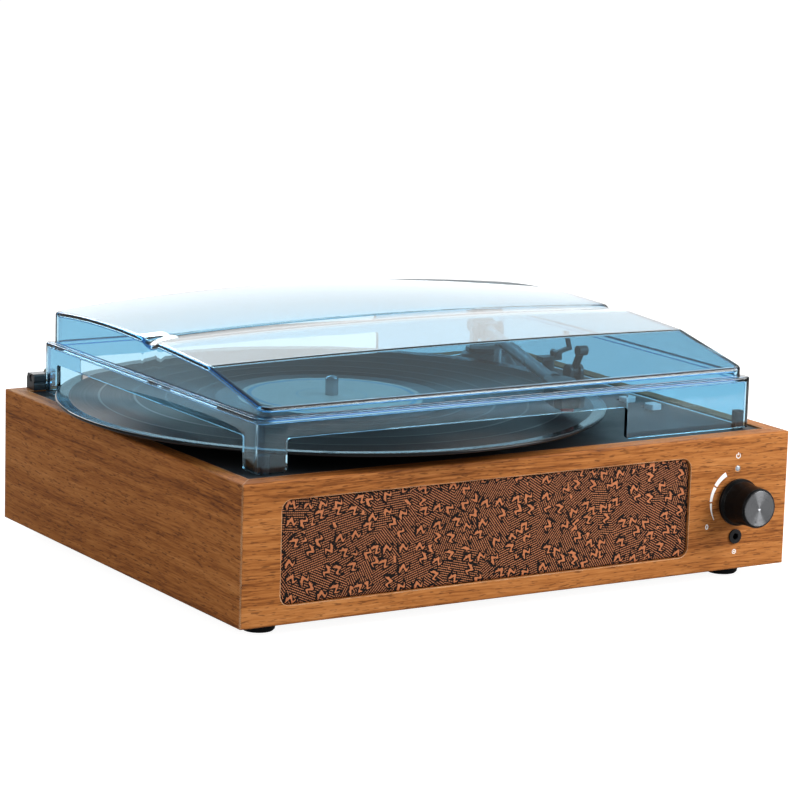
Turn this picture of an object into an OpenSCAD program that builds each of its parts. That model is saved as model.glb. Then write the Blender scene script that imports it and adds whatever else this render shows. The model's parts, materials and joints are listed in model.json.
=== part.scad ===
// Suitcase-size record player in a veneered wooden cabinet: a belt-driven
// platter, a straight tonearm, two front speakers and a hinged dust cover.
// Axes: +X right, -Y front, +Z up. The origin is under the middle of the
// whole player, on the surface that it stands on.

/* [Cabinet] */
// Width of the wooden cabinet
cab_w = 342; // [338:1:420]
// Depth of the wooden cabinet, front to back
cab_d = 278; // [270:1:336]
// Height of the wooden cabinet without its feet
cab_h = 74.5; // [68:0.5:100]
// Thickness of the two side panels
side_t = 9.5; // [8:0.5:14]
// Thickness of the front and back panels
front_t = 11; // [10:0.5:14]
// Thickness of the bottom board
bottom_t = 5; // [3:0.5:8]
// Radius of the softened outer wood edges
edge_r = 1.2; // [0.6:0.1:2.5]
// Height of the rubber feet
foot_h = 7.5; // [5:0.5:15]
// Diameter of the rubber feet where they meet the cabinet
foot_d = 20; // [16:1:26]
// Distance of a foot's centre from the cabinet's sides and ends
foot_inset = 24; // [20:1:40]

/* [Deck] */
// Thickness of the moulded deck plate
deck_t = 3; // [2:0.5:4]
// Depth of the deck's top below the wooden rim
deck_drop = 0.8; // [0:0.1:2]
// Gap between the deck plate and the wood round it
deck_gap = 0.3; // [0.1:0.1:1]

/* [Platter and record] */
// Distance of the spindle from the cabinet's left side
spindle_inset = 131; // [120:1:140]
// Distance of the spindle forward of the cabinet's middle
spindle_fwd = 1.5; // [0:0.5:10]
// Diameter of the record spindle
spindle_d = 7.2; // [7:0.05:7.25]
// Radius of the platter
platter_r = 98; // [90:1:120]
// Height of the platter's top above the wooden rim
platter_rise = 6.9; // [6:0.1:12]
// Thickness of the platter mat
mat_t = 1.2; // [0.8:0.1:3]
// Radius of the record
record_r = 151; // [125:1:151]
// Thickness of the record at its groove area
record_t = 1.9; // [1.2:0.1:2.2]
// Radius of the record's label
label_r = 50; // [35:1:52]
// Radius of the drive rim under the platter
drive_r = 62; // [50:1:70]
// Radius of the motor pulley
pulley_r = 4.5; // [3:0.1:8]
// Distance of the motor's shaft from the spindle
motor_reach = 80; // [76:1:88]
// Diameter of the motor can
motor_d = 36; // [28:1:40]

/* [Tonearm] */
// Distance of the tonearm pivot to the right of the spindle
pivot_right = 162; // [156:1:164]
// Distance of the tonearm pivot behind the spindle
pivot_back = 93.5; // [90:0.5:96]
// Reach of the stylus past the spindle
arm_overhang = 8; // [0:1:16]
// Distance of the stylus from the spindle as the arm is shown
stylus_r = 130; // [60:1:146]
// Diameter of the arm tube
tube_d = 7; // [5:0.5:9]
// Height of the arm tube's axis above the record
arm_rise = 11; // [10:0.5:14]
// Distance of the arm rest from the pivot
rest_reach = 72; // [64:1:78]
// Angle that the arm swings outward to its rest
rest_swing = 15.3; // [13:0.1:18]

/* [Speakers and controls] */
// Width of the speaker grille
grille_w = 253; // [220:1:258]
// Height of the speaker grille
grille_h = 54.5; // [48:0.5:60]
// Corner radius of the grille
grille_r = 5.5; // [2:0.5:10]
// Distance of the grille from the cabinet's left side
grille_inset = 23; // [15:1:30]
// Diameter of a speaker cone's opening
cone_d = 46; // [36:1:50]
// Distance of the knob, light and socket from the cabinet's right side
control_inset = 34.3; // [30:0.1:40]
// Diameter of the volume knob's skirt
knob_d = 26; // [20:0.5:30]
// Distance that the knob stands out from the front
knob_len = 21; // [15:0.5:28]

/* [Dust cover] */
// Wall of the dust cover
lid_t = 2.5; // [2:0.1:4]
// Gap from the cabinet's left side to the cover
lid_inset_left = 17.2; // [15:0.1:20]
// Gap from the cabinet's right side to the cover
lid_inset_right = 14.8; // [13:0.1:20]
// Gap from the cabinet's front to the cover
lid_inset_front = 15.5; // [14:0.1:20]
// Gap from the cabinet's back to the cover
lid_inset_back = 13.5; // [13:0.1:20]
// Height of the cover's straight skirt
skirt_h = 27.9; // [24:0.1:40]
// Width of the ledge between the skirt and the raised top
ledge_w = 3.5; // [3:0.1:8]
// Height of the raised top's front edge above the skirt
nose_h = 4.9; // [3:0.1:10]
// Height of the bend in the top above the skirt
crease_h = 17; // [12:0.1:20]
// Height of the highest long edges above the skirt
lip_h = 20; // [16:0.1:24]
// Height of the raised top's back edge above the skirt
tail_h = 17.2; // [12:0.1:22]
// Extra height of the arched top at the middle of its back
arch_h = 7.8; // [4:0.1:12]
// Angle that the cover opens
lid_open = 65; // [45:1:75]

/* [Hidden] */
$fn = 96;
eps = 0.01;

// Running clearances and slide gaps
run_gap = 0.08;
pin_gap = 0.08;
part_gap = 0.3;

// Heights
rim_z = foot_h + cab_h;
deck_z = rim_z - deck_drop;
under_z = deck_z - deck_t;
board_z = foot_h + bottom_t + eps;
platter_z = rim_z + platter_rise;
record_z = platter_z + mat_t;
record_top = record_z + record_t;
arm_z = record_top + arm_rise;

// Plan positions, from the cabinet's middle
spindle_x = -cab_w / 2 + spindle_inset;
spindle_y = -spindle_fwd;
pivot_x = spindle_x + pivot_right;
pivot_y = spindle_y + pivot_back;
motor_angle = 145;
motor_x = spindle_x + motor_reach * cos(motor_angle);
motor_y = spindle_y + motor_reach * sin(motor_angle);

// The stylus lies where a circle round the pivot meets one round the spindle
pivot_span = norm([pivot_x - spindle_x, pivot_y - spindle_y]);
arm_len = pivot_span + arm_overhang;
pivot_to_spindle = atan2(spindle_y - pivot_y, spindle_x - pivot_x);
function swing_for(r) =
  acos((pivot_span * pivot_span + arm_len * arm_len - r * r) / (2 * pivot_span * arm_len));
arm_angle = pivot_to_spindle + swing_for(stylus_r);
rest_angle = arm_angle + rest_swing;
inner_angle = pivot_to_spindle + swing_for(60);

// The whole player's box, whose middle is the origin
reach_left = min(-cab_w / 2, spindle_x - record_r);
reach_right = max(cab_w / 2, spindle_x + record_r);
reach_front = min(-cab_d / 2 - knob_len, spindle_y - record_r);
socket_len = 9;
jack_plate_t = 1.6;
reach_back = max(cab_d / 2 + jack_plate_t + socket_len, spindle_y + record_r);
shift_x = -(reach_left + reach_right) / 2;
shift_y = -(reach_front + reach_back) / 2;

// Inside of the cabinet
in_x = cab_w / 2 - side_t;
in_y = cab_d / 2 - front_t;

// Front controls
control_x = cab_w / 2 - control_inset;
knob_z = foot_h + 38;
light_z = foot_h + 56.3;
aux_z = foot_h + 18.5;
front_y = -cab_d / 2;
bush_hole_d = 8;
light_d = 3;
aux_neck_d = 6;
aux_body = [12, 10];
hole_gap = 0.2;

// Grille, set into a pocket in the front panel
grille_x = -cab_w / 2 + grille_inset + grille_w / 2;
grille_z = foot_h + cab_h / 2;
cloth_inset = 1.2;
cloth_t = 0.8;
frame_t = 3.5;
grille_gap = 0.5;
pocket_d = cloth_inset + cloth_t + frame_t;
speaker_dx = grille_w * 0.29;
speaker_flange_d = cone_d + 12;

// Dust cover
lid_x0 = -cab_w / 2 + lid_inset_left;
lid_x1 = cab_w / 2 - lid_inset_right;
lid_y0 = -cab_d / 2 + lid_inset_front;
lid_y1 = cab_d / 2 - lid_inset_back;
lid_z = rim_z + 0.4;
skirt_top = lid_z + skirt_h;
lid_corner = 5;
cut_h = 17.4;
cut_gap_left = 8;
cut_gap_right = 23.6;
cut_gap_front = 6.7;
cut_gap_back = 10.1;
cut_r = 2;
hinge_y = lid_y1 + 6;
hinge_z = rim_z + 6.5;
hinge_inset = 7.3;
tab_t = 4;
tab_r = 5;
hinge_gap = 0.4;
hinge_pin_d = 4;

// Colours
walnut = "#a0673c";
black = "#17181a";
dark = "#2b2d30";
steel = "#b9bcc0";
brass = "#c9a64f";
board_green = "#1f5f3f";

module place() translate([shift_x, shift_y, 0]) children();

// A plate with round corners, centred, standing on z = 0
module round_plate(w, d, h, r) linear_extrude(h) round_rect(w, d, r);

module round_rect(w, d, r) {
  square([w - 2 * r, d], center = true);
  square([w, d - 2 * r], center = true);
  for (x = [-1, 1], y = [-1, 1]) translate([x * (w / 2 - r), y * (d / 2 - r)]) circle(r);
}

// A round plate that stands upright, its front face at y = 0
module upright(h) rotate([90, 0, 0]) translate([0, 0, -h]) linear_extrude(h) children();

module tube(r_out, r_in, h) {
  difference() {
    cylinder(r = r_out, h = h);
    translate([0, 0, -1]) cylinder(r = r_in, h = h + 2);
  }
}

// ---- Cabinet -------------------------------------------------------------

// A panel's cross-section: its outer edge at x = 0, both outer corners softened
module panel_section(t) {
  difference() {
    square([t, cab_h]);
    for (top = [0, 1])
      translate([0, top * cab_h]) mirror([0, top]) difference() {
        translate([-1, -1]) square([edge_r + 1, edge_r + 1]);
        translate([edge_r, edge_r]) circle(edge_r);
      }
  }
}

// A mitred board of the cabinet wall, running along X with its face at y = 0
module wall_board(len, t, mitre) {
  difference() {
    translate([-len / 2, 0, 0]) rotate([90, 0, 90]) linear_extrude(len) panel_section(t);
    for (s = [-1, 1])
      translate([s * len / 2, 0, -1]) linear_extrude(cab_h + 2)
        polygon([[0, 0], [-s * mitre * 1.2, t * 1.2], [s * 5, t * 1.2], [s * 5, 0]]);
  }
}

module front_panel() color(walnut) place() difference() {
  intersection() {
    translate([0, front_y, foot_h]) wall_board(cab_w, front_t, side_t);
    translate([0, 0, foot_h]) round_plate(cab_w, cab_d, cab_h, edge_r);
  }
  translate([grille_x, front_y - 1, grille_z])
    upright(pocket_d + 1) round_rect(grille_w, grille_h, grille_r);
  for (s = [-1, 1]) translate([grille_x + s * speaker_dx, front_y, grille_z])
    rotate([-90, 0, 0]) cylinder(d = cone_d, h = front_t + 1);
  for (hole = [[knob_z, bush_hole_d], [light_z, light_d + hole_gap], [aux_z, aux_neck_d + hole_gap]])
    translate([control_x, front_y - 1, hole[0]]) rotate([-90, 0, 0])
      cylinder(d = hole[1], h = front_t + 2);
  // Pocket behind for the socket's body
  translate([control_x, front_y + 4, aux_z])
    upright(front_t) square([aux_body[0] + 1, aux_body[1] + 1], center = true);
}

module side_panel(s) color(walnut) place() intersection() {
  translate([s * cab_w / 2, 0, foot_h]) rotate([0, 0, s * 90]) wall_board(cab_d, side_t, front_t);
  translate([0, 0, foot_h]) round_plate(cab_w, cab_d, cab_h, edge_r);
}
module left_panel() side_panel(-1);
module right_panel() side_panel(1);

jack_x = cab_w / 2 - 85;
jack_z = foot_h + 34;
jack_plate_w = 78;
jack_plate_h = 30;
jack_hole_w = 66;
jack_hole_h = 20;

module back_panel() color(walnut) place() difference() {
  intersection() {
    translate([0, cab_d / 2, foot_h]) rotate([0, 0, 180]) wall_board(cab_w, front_t, side_t);
    translate([0, 0, foot_h]) round_plate(cab_w, cab_d, cab_h, edge_r);
  }
  translate([jack_x, cab_d / 2 - front_t - 1, jack_z])
    upright(front_t + 2) round_rect(jack_hole_w, jack_hole_h, 3);
  for (s = [-1, 1]) hinge_screw_at(s) translate([0, 0, -12]) cylinder(d = self_tap_d, h = 13);
}

foot_x = cab_w / 2 - foot_inset;
foot_y = cab_d / 2 - foot_inset;
foot_recess = 3;

// Case screws, and the holes that they thread into or pass through
screw_d = 2.9;
screw_len = 16;
screw_head_d = 6;
pilot_d = screw_d + 0.02;
through_d = screw_d + 0.4;

module bottom_board() color("#8b6a48") place() difference() {
  translate([0, 0, foot_h + eps])
    round_plate(2 * in_x - 0.4, 2 * in_y - 0.4, bottom_t, 1);
  for (x = [-1, 1], y = [-1, 1])
    translate([x * foot_x, y * foot_y, 0]) cylinder(d = pilot_d, h = 40);
  for (k = [-3:3], y = [-1, 1])
    translate([k * 14, y * in_y * 0.45, 0]) round_plate(5, 40, 40, 2.4);
}

cleat_w = 12;
cleat_h = 14;
cleat_recess = 6;
skirt_drop = 8;
cleat_top = under_z - skirt_drop;
cleat_screw_y = in_y * 0.72;
module at_deck_screws() for (s = [-1, 1], y = [-1, 0, 1])
  translate([s * (in_x - cleat_w / 2), y * cleat_screw_y, 0]) children();

// Wooden battens inside the side panels that carry the deck
module side_cleats() color("#b98c5c") place() difference() {
  for (s = [-1, 1])
    translate([s * (in_x - cleat_w / 2), 0, cleat_top - cleat_h])
      round_plate(cleat_w - 0.02, 2 * in_y - 30, cleat_h, 0.8);
  at_deck_screws() translate([0, 0, cleat_top - cleat_h - 1]) {
    cylinder(d = through_d, h = cleat_h + 2);
    cylinder(d = screw_head_d + 1, h = cleat_recess + 1);
  }
}

module foot(x, y) color(black) place() translate([x * foot_x, y * foot_y, 0]) difference() {
  rotate_extrude() polygon([
    [0, 0], [foot_d * 0.39, 0], [foot_d * 0.43, 0.8], [foot_d / 2, foot_h - 1.2],
    [foot_d / 2, foot_h], [0, foot_h]
  ]);
  translate([0, 0, -1]) cylinder(d = screw_head_d + 2, h = foot_recess + 1);
  cylinder(d = through_d, h = foot_h + 1);
}
module foot_front_left() foot(-1, -1);
module foot_front_right() foot(1, -1);
module foot_back_left() foot(-1, 1);
module foot_back_right() foot(1, 1);

// A pan-head screw, its head's underside at z = 0 and the shank upward
module screw(shank_d, len, head_d, head_h) {
  translate([0, 0, -head_h / 4]) cylinder(d = shank_d, h = len + head_h / 4);
  translate([0, 0, -head_h]) difference() {
    cylinder(d = head_d, h = head_h);
    for (a = [0, 90]) rotate([0, 0, a]) translate([0, 0, 0.5])
      cube([head_d * 0.55, 0.8, 1.02], center = true);
  }
}

// Four screws hold the feet on and six come up through the battens into the deck
module case_screws() color(steel) place() {
  for (x = [-1, 1], y = [-1, 1])
    translate([x * foot_x, y * foot_y, foot_recess]) screw(screw_d, screw_len, screw_head_d, 1.8);
  at_deck_screws() translate([0, 0, cleat_top - cleat_h + cleat_recess])
    screw(screw_d, screw_len, screw_head_d, 1.8);
}

// ---- Deck ----------------------------------------------------------------

deck_w = 2 * (in_x - deck_gap);
deck_d = 2 * (in_y - deck_gap);
well_r = platter_r + 5;
well_depth = 1.2;
bearing_d = 13;
bearing_len = 26;
switch_x = pivot_x + 18;
speed_y = pivot_y - 116;
auto_y = speed_y - 26;
switch_slot = 14;
speed_travel = 4;
auto_travel = 3;
pivot_bore_d = 9;
lift_angle = (rest_angle + inner_angle) / 2 + 2;
lift_reach = 34;
lift_pin_d = 4;
cue_x = switch_x;
cue_y = pivot_y - 66;
motor_ear_r = motor_d / 2 + 5;
motor_post_h = 7;
self_tap_d = 2.2;
bearing_boss_h = 14;
post_d = 7;
pivot_boss_h = 6;
slot_r = 1.2;

module at_spindle() translate([spindle_x, spindle_y, 0]) children();
module at_motor() translate([motor_x, motor_y, 0]) children();
module at_motor_ears() at_motor() for (a = [0:120:240]) rotate([0, 0, a])
  translate([motor_ear_r, 0, 0]) children();
module at_pivot() translate([pivot_x, pivot_y, 0]) children();
module at_lift_pin() at_pivot() rotate([0, 0, lift_angle]) translate([lift_reach, 0, 0]) children();
module at_arm_rest() at_pivot() rotate([0, 0, rest_angle]) translate([rest_reach, 0, 0]) children();

module deck_plate() color(black) place() difference() {
  union() {
    translate([0, 0, under_z]) round_plate(deck_w, deck_d, deck_t, 2);
    // Stiffening skirt round the underside
    translate([0, 0, cleat_top]) difference() {
      round_plate(deck_w, deck_d, skirt_drop + eps, 2);
      translate([0, 0, -1]) round_plate(deck_w - 5, deck_d - 5, skirt_drop + 2, 1);
    }
    // Boss for the platter bearing, with four ribs
    at_spindle() translate([0, 0, under_z - bearing_boss_h])
      cylinder(d = bearing_d + 8, h = bearing_boss_h + eps);
    at_spindle() for (a = [45:90:315]) rotate([0, 0, a])
      translate([bearing_d / 2 + 3, -1, under_z - skirt_drop]) cube([26, 2, skirt_drop + eps]);
    // Posts that carry the motor, the arm base and the deck screws
    at_motor_ears() translate([0, 0, under_z - motor_post_h])
      cylinder(d = post_d, h = motor_post_h + eps);
    at_pivot() translate([0, 0, under_z - pivot_boss_h])
      cylinder(d = pivot_bore_d + 8, h = pivot_boss_h + eps);
    at_lift_pin() translate([0, 0, under_z - pivot_boss_h])
      cylinder(d = lift_pin_d + 5, h = pivot_boss_h + eps);
    at_deck_screws() translate([0, 0, cleat_top]) cylinder(d = post_d, h = skirt_drop + eps);
  }
  at_spindle() translate([0, 0, deck_z - well_depth]) cylinder(r = well_r, h = 5);
  at_spindle() translate([0, 0, under_z - 20]) cylinder(d = bearing_d, h = 40);
  at_motor() translate([0, 0, under_z - 1]) cylinder(r = pulley_r + 5, h = 10);
  at_motor_ears() translate([0, 0, under_z - motor_post_h - 1])
    cylinder(d = self_tap_d, h = motor_post_h + 1);
  at_pivot() translate([0, 0, under_z - 20]) cylinder(d = pivot_bore_d + 0.4, h = 40);
  at_lift_pin() translate([0, 0, under_z - 20]) cylinder(d = lift_pin_d + 2 * run_gap, h = 40);
  for (y = [speed_y, auto_y])
    translate([switch_x, y, under_z - 1]) round_plate(3, switch_slot, 10, slot_r);
  translate([cue_x, cue_y, under_z - 1]) round_plate(4, 9, 10, slot_r);
  at_deck_screws() translate([0, 0, cleat_top - 1])
    cylinder(d = pilot_d, h = screw_len + cleat_recess - cleat_h + 1.5);
  // Room for the speakers' flanges in the front of the skirt
  for (s = [-1, 1]) at_speaker(s) translate([0, 0, -1]) cylinder(d = speaker_flange_d + 2, h = 8);
}

// ---- Speakers ------------------------------------------------------------

// Frame with three rows of slots that backs the cloth
module grille_frame() color(black) place()
  translate([grille_x, front_y + cloth_inset + cloth_t, grille_z]) difference() {
    upright(frame_t) round_rect(grille_w - grille_gap, grille_h - grille_gap, grille_r);
    for (k = [-7:7], row = [-1, 0, 1])
      translate([k * grille_w / 16, -1, row * grille_h * 0.29])
        upright(frame_t + 2) round_rect(grille_w / 20, grille_h * 0.22, 2.5);
  }

module grille_cloth() color("#6d4a35") place()
  translate([grille_x, front_y + cloth_inset, grille_z])
    upright(cloth_t) round_rect(grille_w - grille_gap, grille_h - grille_gap, grille_r);

basket_y = front_y + front_t;
basket_depth = 20;
surround_seat_r = cone_d / 2 + 3;

module at_speaker(s) translate([grille_x + s * speaker_dx, basket_y, grille_z]) rotate([-90, 0, 0]) children();

// Pressed basket: a flange against the panel, stepped to seat the surround
module speaker_basket(s) color(dark) place() at_speaker(s) difference() {
  rotate_extrude() polygon([
    [surround_seat_r + 0.2, 0], [speaker_flange_d / 2, 0], [speaker_flange_d / 2, 2.2],
    [cone_d / 2 + 1.5, 2.2], [cone_d * 0.3, basket_depth], [0, basket_depth],
    [0, basket_depth - 1.5], [cone_d * 0.26, basket_depth - 1.5], [cone_d / 2 - 0.5, 1],
    [surround_seat_r + 0.2, 1]
  ]);
  for (a = [30:60:330]) rotate([0, 0, a]) translate([cone_d * 0.38, 0, 4])
    rotate([0, -28, 0]) round_plate(30, 11, 11, 3);
}
module left_speaker_basket() speaker_basket(-1);
module right_speaker_basket() speaker_basket(1);

// Paper cone with its half-roll surround, dust cap and coil former, one thin sheet
roll_r = 2.4;
roll_mid = cone_d / 2 - 3.2;
coil_r = cone_d * 0.17;
paper_t = 0.7;
cone_back = 9;
cap_rise = 3.2;
module speaker_cone(s) color("#111111") place() at_speaker(s) rotate_extrude() polygon(concat(
  [[surround_seat_r, 1], [surround_seat_r, 1 - paper_t]],
  [for (a = [0:-20:-180]) [roll_mid + roll_r * cos(a), 1 - paper_t + roll_r * sin(a)]],
  [for (a = [0:15:90]) [(coil_r + paper_t) * cos(a), cone_back - cap_rise * sin(a)]],
  [for (a = [90:-15:0]) [coil_r * cos(a), cone_back + paper_t - cap_rise * sin(a)]],
  [[coil_r, basket_depth - 2], [coil_r + paper_t, basket_depth - 2]],
  [[coil_r + paper_t, cone_back + 1.4 * paper_t]],
  [for (a = [-180:20:0]) [roll_mid + (roll_r - paper_t) * cos(a), 1 + (roll_r - paper_t) * sin(a)]]
));
module left_speaker_cone() speaker_cone(-1);
module right_speaker_cone() speaker_cone(1);

module speaker_magnet(s) color("#3a3d42") place() at_speaker(s) translate([0, 0, basket_depth]) union() {
  cylinder(d = cone_d * 0.66, h = 1.5);
  translate([0, 0, 1.5 - eps]) cylinder(d = cone_d * 0.74, h = 6);
  translate([0, 0, 7.5 - 2 * eps]) cylinder(d = cone_d * 0.62, h = 1.5);
}
module left_speaker_magnet() speaker_magnet(-1);
module right_speaker_magnet() speaker_magnet(1);

// ---- Platter drive -------------------------------------------------------

well_floor = deck_z - well_depth;
shaft_bottom = deck_z - bearing_len + 2.5;
spindle_above = 10.7;
spindle_tip = 2.2;
neck_h = 1.2;
neck_cut = 0.6;
neck_above = 0.2;
platter_skin = 2.6;
hub_r = 12;
rim_t = 2.4;
belt_t = 0.7;
belt_h = 3.4;
belt_z = platter_z - platter_skin - belt_h - 0.4;

module bearing_well() color(brass) place() at_spindle() difference() {
  union() {
    translate([0, 0, deck_z - bearing_len]) cylinder(d = bearing_d - 0.02, h = bearing_len);
    translate([0, 0, well_floor]) cylinder(d = bearing_d + 6, h = 1);
  }
  translate([0, 0, shaft_bottom - 0.1]) cylinder(d = spindle_d + 2 * run_gap, h = bearing_len + 5);
}

// Full size in its bearing and again above the record, with an undercut between
// them that lies inside the record's hole, and a rounded end
module spindle_shaft() color(steel) place() at_spindle() {
  stub_z = record_top + neck_above;
  tip_z = record_top + spindle_above - spindle_tip;
  tip_ball_r = 5;
  translate([0, 0, shaft_bottom]) cylinder(d = spindle_d, h = stub_z - neck_h - shaft_bottom);
  translate([0, 0, stub_z - neck_h - eps]) cylinder(d = spindle_d - neck_cut, h = neck_h + 2 * eps);
  translate([0, 0, stub_z]) cylinder(d = spindle_d, h = tip_z - stub_z);
  translate([0, 0, tip_z - eps]) intersection() {
    rotate_extrude() difference() {
      translate([0, spindle_tip - tip_ball_r]) circle(tip_ball_r);
      translate([-10, -10]) square([10, 20]);
      translate([0, -10]) square([10, 10]);
    }
    cylinder(d = spindle_d, h = tip_ball_r);
  }
}

// A hub, the drive rim that the belt runs on and an outer rim, under one thin disc
module platter() color("#1c1d1f") place() at_spindle() rotate_extrude() polygon([
  [spindle_d / 2 + 0.02, belt_z - 1.2], [hub_r, belt_z - 1.2], [hub_r, platter_z - platter_skin],
  [drive_r - rim_t, platter_z - platter_skin], [drive_r - rim_t, belt_z - 0.6],
  [drive_r, belt_z - 0.6], [drive_r, platter_z - platter_skin],
  [platter_r - rim_t, platter_z - platter_skin], [platter_r - rim_t, well_floor + 1.6],
  [platter_r - 0.6, well_floor + 1.6], [platter_r, well_floor + 2.2],
  [platter_r, platter_z - 1], [platter_r - 1, platter_z], [spindle_d / 2 + 0.02, platter_z]
]);

module platter_mat() color("#202122") place() at_spindle() translate([0, 0, platter_z]) difference() {
  tube(platter_r - 3, spindle_d / 2 + 0.5, mat_t);
  // Ring grooves
  for (r = [55:6:90]) translate([0, 0, mat_t - 0.3]) tube(r + 0.8, r, 1);
}

// Raised bead at the rim and a raised label protect the thinner groove area
groove_low = 0.3;
module vinyl_record() color("#0b0b0d") place() at_spindle() translate([0, 0, record_z])
  rotate_extrude() polygon([
    [spindle_d / 2 + 0.05, 0], [label_r, 0], [label_r + 1.5, groove_low], [record_r - 4, groove_low],
    [record_r - 1, 0.05], [record_r - 0.2, 0.35], [record_r, record_t / 2],
    [record_r - 0.2, record_t - 0.35], [record_r - 1, record_t - 0.05],
    [record_r - 4, record_t - groove_low], [label_r + 1.5, record_t - groove_low],
    [label_r, record_t], [spindle_d / 2 + 0.05, record_t]
  ]);

grommet_h = 4;
motor_top = under_z - motor_post_h - grommet_h;
motor_len = 28;
motor_plate_t = 1.5;
motor_shaft_d = 2;

// Motor can with its end plate, three ears and shaft collar
module drive_motor() color(steel) place() at_motor() difference() {
  union() {
    translate([0, 0, motor_top - motor_len]) cylinder(d = motor_d, h = motor_len);
    translate([0, 0, motor_top - motor_len - 1.5]) cylinder(d = motor_d * 0.45, h = 2);
    translate([0, 0, motor_top - eps]) cylinder(d = motor_d * 0.4, h = 2);
    for (a = [0:120:240]) rotate([0, 0, a]) translate([0, 0, motor_top - motor_plate_t]) {
      translate([motor_ear_r, 0, 0]) cylinder(d = 8, h = motor_plate_t);
      translate([motor_d / 2 - 3, -4, 0]) cube([motor_ear_r - motor_d / 2 + 3, 8, motor_plate_t]);
    }
  }
  for (a = [0:120:240]) rotate([0, 0, a])
    translate([motor_ear_r, 0, motor_top - 3]) cylinder(d = 3, h = 6);
  translate([0, 0, motor_top - 12]) cylinder(d = motor_shaft_d + 0.3, h = 20);
}

// Rubber grommets between the motor ears and the deck, and their screws
module motor_grommets() color("#333333") place() at_motor_ears() translate([0, 0, motor_top]) {
  tube(4, 1.4, grommet_h);
  translate([0, 0, -motor_plate_t]) screw(2.0, 12, 5.5, 1.6);
}

// Motor shaft with the pulley pressed on it, flanged under the belt
module motor_pulley() color(brass) place() at_motor() {
  translate([0, 0, motor_top - 10]) cylinder(d = motor_shaft_d, h = belt_z - motor_top + 11);
  translate([0, 0, belt_z - 1.2]) cylinder(r = pulley_r + 1, h = 0.8 + eps);
  translate([0, 0, belt_z - 0.4]) cylinder(r = pulley_r, h = belt_h + 0.6);
}

// Flat belt, a hair clear of both wheels
belt_clear = 0.2;
module belt_outline(grow) hull() {
  circle(drive_r + grow, $fn = 120);
  translate([motor_reach, 0]) circle(pulley_r + grow, $fn = 32);
}
module drive_belt() color("#101010") place() at_spindle() rotate([0, 0, motor_angle])
  translate([0, 0, belt_z]) linear_extrude(belt_h) difference() {
    belt_outline(belt_clear + belt_t);
    belt_outline(belt_clear);
  }

// ---- Tonearm -------------------------------------------------------------

base_top = deck_z + 9;
yoke_z = base_top + 0.4;
arm_pin_d = 2.4;
yoke_gap = 6.2;
yoke_cheek = 3;
yoke_plate_t = 2.5;
cheek_r = 5;
stylus_tip = record_top + 0.4;
head_len = 34;
head_w = 17;
head_top = arm_z + tube_d / 2 + 0.1;

module arm_base() color(black) place() at_pivot() difference() {
  rotate_extrude() polygon([
    [0, deck_z], [18, deck_z], [18, deck_z + 1.5], [16.5, deck_z + 3],
    [14.5, base_top - 1.2], [13.3, base_top], [0, base_top]
  ]);
  translate([0, 0, deck_z - 1]) cylinder(d = pivot_bore_d, h = 30);
}

// Everything that swings is drawn along +X and turned to the arm's angle
module on_arm() at_pivot() rotate([0, 0, arm_angle]) children();

// Post in the base's bore, a turntable on it and two cheeks that hold the pin
module arm_yoke() color(dark) place() on_arm() difference() {
  union() {
    translate([0, 0, under_z - 5]) cylinder(d = pivot_bore_d - 2 * run_gap, h = yoke_z - under_z + 5 + eps);
    translate([0, 0, yoke_z]) cylinder(d = 25, h = yoke_plate_t);
    for (s = [-1, 1]) translate([0, s * (yoke_gap + yoke_cheek / 2), yoke_z + yoke_plate_t - eps]) {
      translate([-cheek_r, -yoke_cheek / 2, 0])
        cube([2 * cheek_r, yoke_cheek, arm_z - yoke_z - yoke_plate_t]);
      translate([0, yoke_cheek / 2, arm_z - yoke_z - yoke_plate_t]) rotate([90, 0, 0])
        cylinder(r = cheek_r, h = yoke_cheek);
    }
  }
  translate([0, 20, arm_z]) rotate([90, 0, 0]) cylinder(d = arm_pin_d + 0.02, h = 40);
}

module arm_pivot_pin() color(steel) place() on_arm()
  translate([0, yoke_gap + yoke_cheek + 0.5, arm_z]) rotate([90, 0, 0])
    cylinder(d = arm_pin_d, h = 2 * (yoke_gap + yoke_cheek) + 1);

// Pivot block and tube, with a collar where the headshell plugs on
module arm_tube() color("#3a3d41") place() on_arm() difference() {
  union() {
    translate([0, 0, arm_z]) rotate([0, 90, 0]) cylinder(d = tube_d, h = arm_len - head_len + 12);
    translate([-7, -yoke_gap + 0.4, arm_z - 4.6]) cube([14, 2 * yoke_gap - 0.8, 9.2]);
    translate([arm_len - head_len + 2, 0, arm_z]) rotate([0, 90, 0]) cylinder(d = tube_d + 2.4, h = 7);
    translate([-22, 0, arm_z]) rotate([0, 90, 0]) cylinder(d = stub_d, h = 20);
  }
  translate([0, 20, arm_z]) rotate([90, 0, 0]) cylinder(d = arm_pin_d + 2 * run_gap, h = 40);
}

// Fluted weight on the arm's rear stub
counterweight_len = 12;
counterweight_r = 8;
stub_d = 5;
module counterweight() color("#4a4d52") place() on_arm()
  translate([-8.5 - counterweight_len, 0, arm_z]) rotate([0, 90, 0]) difference() {
    rotate_extrude() polygon([
      [stub_d / 2 + 0.02, 0], [counterweight_r - 1, 0], [counterweight_r, 1],
      [counterweight_r, counterweight_len - 1], [counterweight_r - 1, counterweight_len],
      [stub_d / 2 + 0.02, counterweight_len]
    ]);
    for (a = [0:30:330]) rotate([0, 0, a]) translate([counterweight_r + 0.3, 0, -1])
      cylinder(d = 1.2, h = counterweight_len + 2);
  }

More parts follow.
